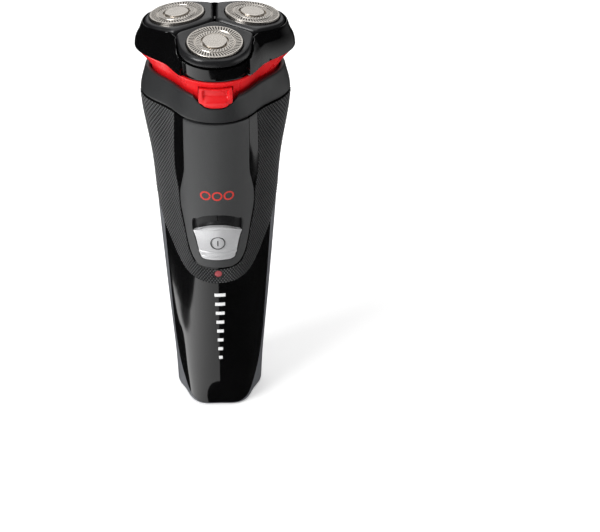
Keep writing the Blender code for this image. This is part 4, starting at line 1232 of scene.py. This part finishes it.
def make_disc(k, place):
    """The cap's raised middle, with a crown so slight that it catches the light evenly."""
    crown, crown_h, rise = 3.3, 0.47, 0.06
    profile = [
        (DISC_R, -0.8), (DISC_R, 0.05), (4.34, 0.28), (4.15, 0.44), (3.85, 0.50), (3.4, 0.48),
    ]
    profile += [(crown * (1 - t / 8), crown_h + rise * t / 8) for t in range(8)]
    disc = turned(f"disc_skin_{k}", profile + [(0.0, 0.54)], 72)
    store_radius(disc)
    disc.data.transform(place)
    return finish_piece(disc, "cap_steel", f"cap_{k}", "cap_steel", f"cap_disc_{k}")


# ---- pieces of the model that stay
KEPT = {
    "steel_parts": (
        "case_screw_", "motor_can", "motor_screw_", "motor_shaft", "hinge_pin", "battery_tab_",
        "release_spring", "cutter_",
    ),
    "nylon_parts": ("drive_", "slider_carrier", "retaining_plate", "motor_end_cap"),
    "moulded_parts": (
        "battery_cradle", "switch_block", "motor_bracket", "gear_deck", "charging_inlet",
        "lock_knob",
    ),
    "seal_parts": ("spindle_seal_",),
    "board_parts": ("circuit_board",),
    "cell_parts": ("battery_cell",),
    "pin_parts": ("inlet_pin_",),
}


def dress_kept():
    for name, item in frame["nodes"].items():
        for group, starts in KEPT.items():
            if name.startswith(starts):
                item.data.materials.clear()
                item.data.materials.append(finish(group))


# ---- studio
SOFTBOX_R = 4000.0
WHITE = 1.0, 1.0, 1.0, 1.0
# How bright the surroundings are in a mirror, and as they light the shaver. Seen, they are 1.
MIRRORED, AMBIENT = 0.012, 0.14
# Softboxes: where each stands and what it points at, in metres, its size, its watts.
SOFTBOXES = {
    "key_softbox": ((-1.0, -0.75, 0.85), (0, 0, 0.08), (0.7, 0.9), 17.0),
    "back_softbox": ((0.0, 1.05, 0.75), (0, 0, 0.16), (1.8, 0.9), 4.6),
    "top_softbox": ((0.0, 0.0, 1.6), (0, 0, 0), (2.2, 2.2), 17.0),
}
CAMERA_SPOT = 0.002183, -0.572684, 0.438630
CAMERA_TURNS = ("Z", -2.98), ("X", 56.30), ("Z", 0.908)
LENS = 105.41


def soft_light(name, location, target, size, power):
    """A rectangular softbox, in metres and watts."""
    deselect()
    bpy.ops.object.light_add(type="AREA", location=location)
    lamp = bpy.context.object
    lamp.name = name
    lamp.data.shape = "RECTANGLE"
    lamp.data.size, lamp.data.size_y = size
    lamp.data.energy = power
    lamp.rotation_mode = "QUATERNION"
    lamp.rotation_quaternion = (Vector(target) - lamp.location).to_track_quat("-Z", "Y")


def make_floor():
    deselect()
    bpy.ops.mesh.primitive_plane_add(size=12.0, location=(0, 0, -0.0002))
    floor = name_piece(bpy.context.object, "studio_floor")
    material = blank("studio_paper", (0.92, 0.92, 0.92))
    vary_tone(material, noise(material, 9.0), (1.0, 1.0, 1.0), 0.91, 0.93)
    shader = shader_in(material)
    shader.inputs["Roughness"].default_value = 0.9
    shader.inputs["Emission Color"].default_value = WHITE
    shader.inputs["Emission Strength"].default_value = 0.35
    floor.data.materials.append(material)
    floor.visible_glossy = False
    floor.visible_shadow = False


def curved_softbox(name, start, end, low, high, glow):
    """A far lit wall between two angles round the shaver and two heights, all in degrees.

    glow(u, v) is its light.
    """

    def place(u, v):
        fall = math.radians(low + (high - low) * v)
        return polar(start + (end - start) * u, SOFTBOX_R, SOFTBOX_R * math.tan(fall) + 60)

    columns, rows = 48, 8
    wall = sheet(name, columns, rows, place)
    levels = [glow(u / columns, v / rows) for v in range(rows + 1) for u in range(columns + 1)]
    store(wall, "glow", levels)
    material = blank(name, (0.0, 0.0, 0.0))
    shader = shader_in(material)
    shader.inputs["Emission Color"].default_value = WHITE
    link(material, carried(material, "glow"), shader.inputs["Emission Strength"])
    wall.data.materials.append(material)
    wall.visible_camera = False


def make_mirrored_softboxes():
    """Walls that the gloss black mirrors, in its left half and in the head's right skirt."""

    def left(u, v):
        return 1.1 + 0.7 * step(u, 0.0, 0.7)

    def right(u, v):
        return 1.6 * (1 - u) * (1 - v)

    curved_softbox("left_wall", 0.0, -125.0, -52.0, -36.5, left)
    curved_softbox("right_wall", 58.0, 150.0, -29.0, 12.0, right)
    curved_softbox("right_low_wall", 95.0, 150.0, -33.0, -29.0, lambda u, v: 0.96 * (1 - u))


def make_world():
    world = bpy.data.worlds.new("studio_world")
    world.use_nodes = True
    tree = world.node_tree
    bpy.context.scene.world = world
    background = tree.nodes["Background"]
    background.inputs["Color"].default_value = WHITE
    rays = tree.nodes.new("ShaderNodeLightPath")
    level = tree.nodes.new("ShaderNodeMapRange")
    level.inputs["To Min"].default_value = AMBIENT
    level.inputs["To Max"].default_value = MIRRORED
    tree.links.new(rays.outputs["Is Glossy Ray"], level.inputs["Value"])
    seen = tree.nodes.new("ShaderNodeMath")
    seen.operation = "MAXIMUM"
    tree.links.new(level.outputs["Result"], seen.inputs[0])
    tree.links.new(rays.outputs["Is Camera Ray"], seen.inputs[1])
    tree.links.new(seen.outputs["Value"], background.inputs["Strength"])


def make_lights():
    for name, (location, target, size, power) in SOFTBOXES.items():
        soft_light(name, location, target, size, power)


def make_camera():
    deselect()
    bpy.ops.object.camera_add(location=CAMERA_SPOT)
    camera = bpy.context.object
    camera.name = "shaver_camera"
    turn = Matrix.Identity(4)
    for axis, degrees in CAMERA_TURNS:
        turn = turn @ Matrix.Rotation(math.radians(degrees), 4, axis)
    camera.rotation_mode = "QUATERNION"
    camera.rotation_quaternion = turn.to_quaternion()
    camera.data.sensor_width = 36.0
    camera.data.lens = LENS
    camera.data.clip_start = 0.02
    bpy.context.scene.camera = camera
    bpy.context.scene.view_settings.view_transform = "Standard"


# ---- operators
def operator(idname, label, doc, *makers):
    """An operator class that runs the makers of one group of pieces."""

    def execute(self, context):
        for maker in makers:
            maker()
        return {"FINISHED"}

    body = {
        "bl_idname": idname, "bl_label": label, "bl_options": {"UNDO"}, "__doc__": doc,
        "execute": execute,
    }
    return type("SHAVER_OT_" + idname.split(".")[1], (bpy.types.Operator,), body)


def make_heads():
    for k, azimuth in enumerate(CAP_AZIMUTHS, 1):
        place = cap_place(azimuth)
        make_frame(k, place)
        make_cap(k, place)
        make_disc(k, place)


OPERATORS = (
    operator(
        "shaver.stage", "Studio", "Floor, lights and camera",
        make_floor, make_mirrored_softboxes, make_world, make_lights, make_camera,
    ),
    operator("shaver.handle", "Handle", "Rear and front cases", make_rear_case, make_front_case),
    operator("shaver.panel", "Panel", "Front panel and switch bed", make_panel, make_tick),
    operator("shaver.grip", "Grip", "Knurled grip", make_grip),
    operator("shaver.slider", "Power slider", "Power slider with its mark", make_slider),
    operator("shaver.lamp", "Lamp", "Charging lamp", make_lamp),
    operator("shaver.marks", "Marks", "Generic printed marks", make_marks),
    operator("shaver.collar", "Collar", "Collar band", make_collar),
    operator("shaver.neck", "Hair chamber", "Red hair chamber", make_neck),
    operator("shaver.button", "Release button", "Head release button", make_button),
    operator("shaver.head", "Head case", "Head case with its skirts", make_head_case),
    operator("shaver.heads", "Shaving units", "Frames, caps and discs", make_heads),
    operator("shaver.kept", "Inner pieces", "Finishes of the pieces inside", dress_kept),
)


class SHAVER_PT_build(bpy.types.Panel):
    """Builds the shaver's pieces one group at a time."""

    bl_label = "Shaver"
    bl_idname = "SHAVER_PT_build"
    bl_space_type = "VIEW_3D"
    bl_region_type = "UI"
    bl_category = "Shaver"

    def draw(self, context):
        for name in SizeSettings.__annotations__:
            self.layout.prop(context.scene.shaver_sizes, name)
        for name in ColourSettings.__annotations__:
            self.layout.prop(context.scene.shaver_colours, name)
        for made in OPERATORS:
            self.layout.operator(made.bl_idname)


CLASSES = (SizeSettings, ColourSettings, *OPERATORS, SHAVER_PT_build)


def register():
    for made in CLASSES:
        bpy.utils.register_class(made)
    bpy.types.Scene.shaver_sizes = PointerProperty(type=SizeSettings)
    bpy.types.Scene.shaver_colours = PointerProperty(type=ColourSettings)


def unregister():
    del bpy.types.Scene.shaver_colours
    del bpy.types.Scene.shaver_sizes
    for made in reversed(CLASSES):
        bpy.utils.unregister_class(made)


def main():
    register()
    for made in OPERATORS:
        group, action = made.bl_idname.split(".")
        getattr(getattr(bpy.ops, group), action)()


if __name__ == "__main__":
    main()
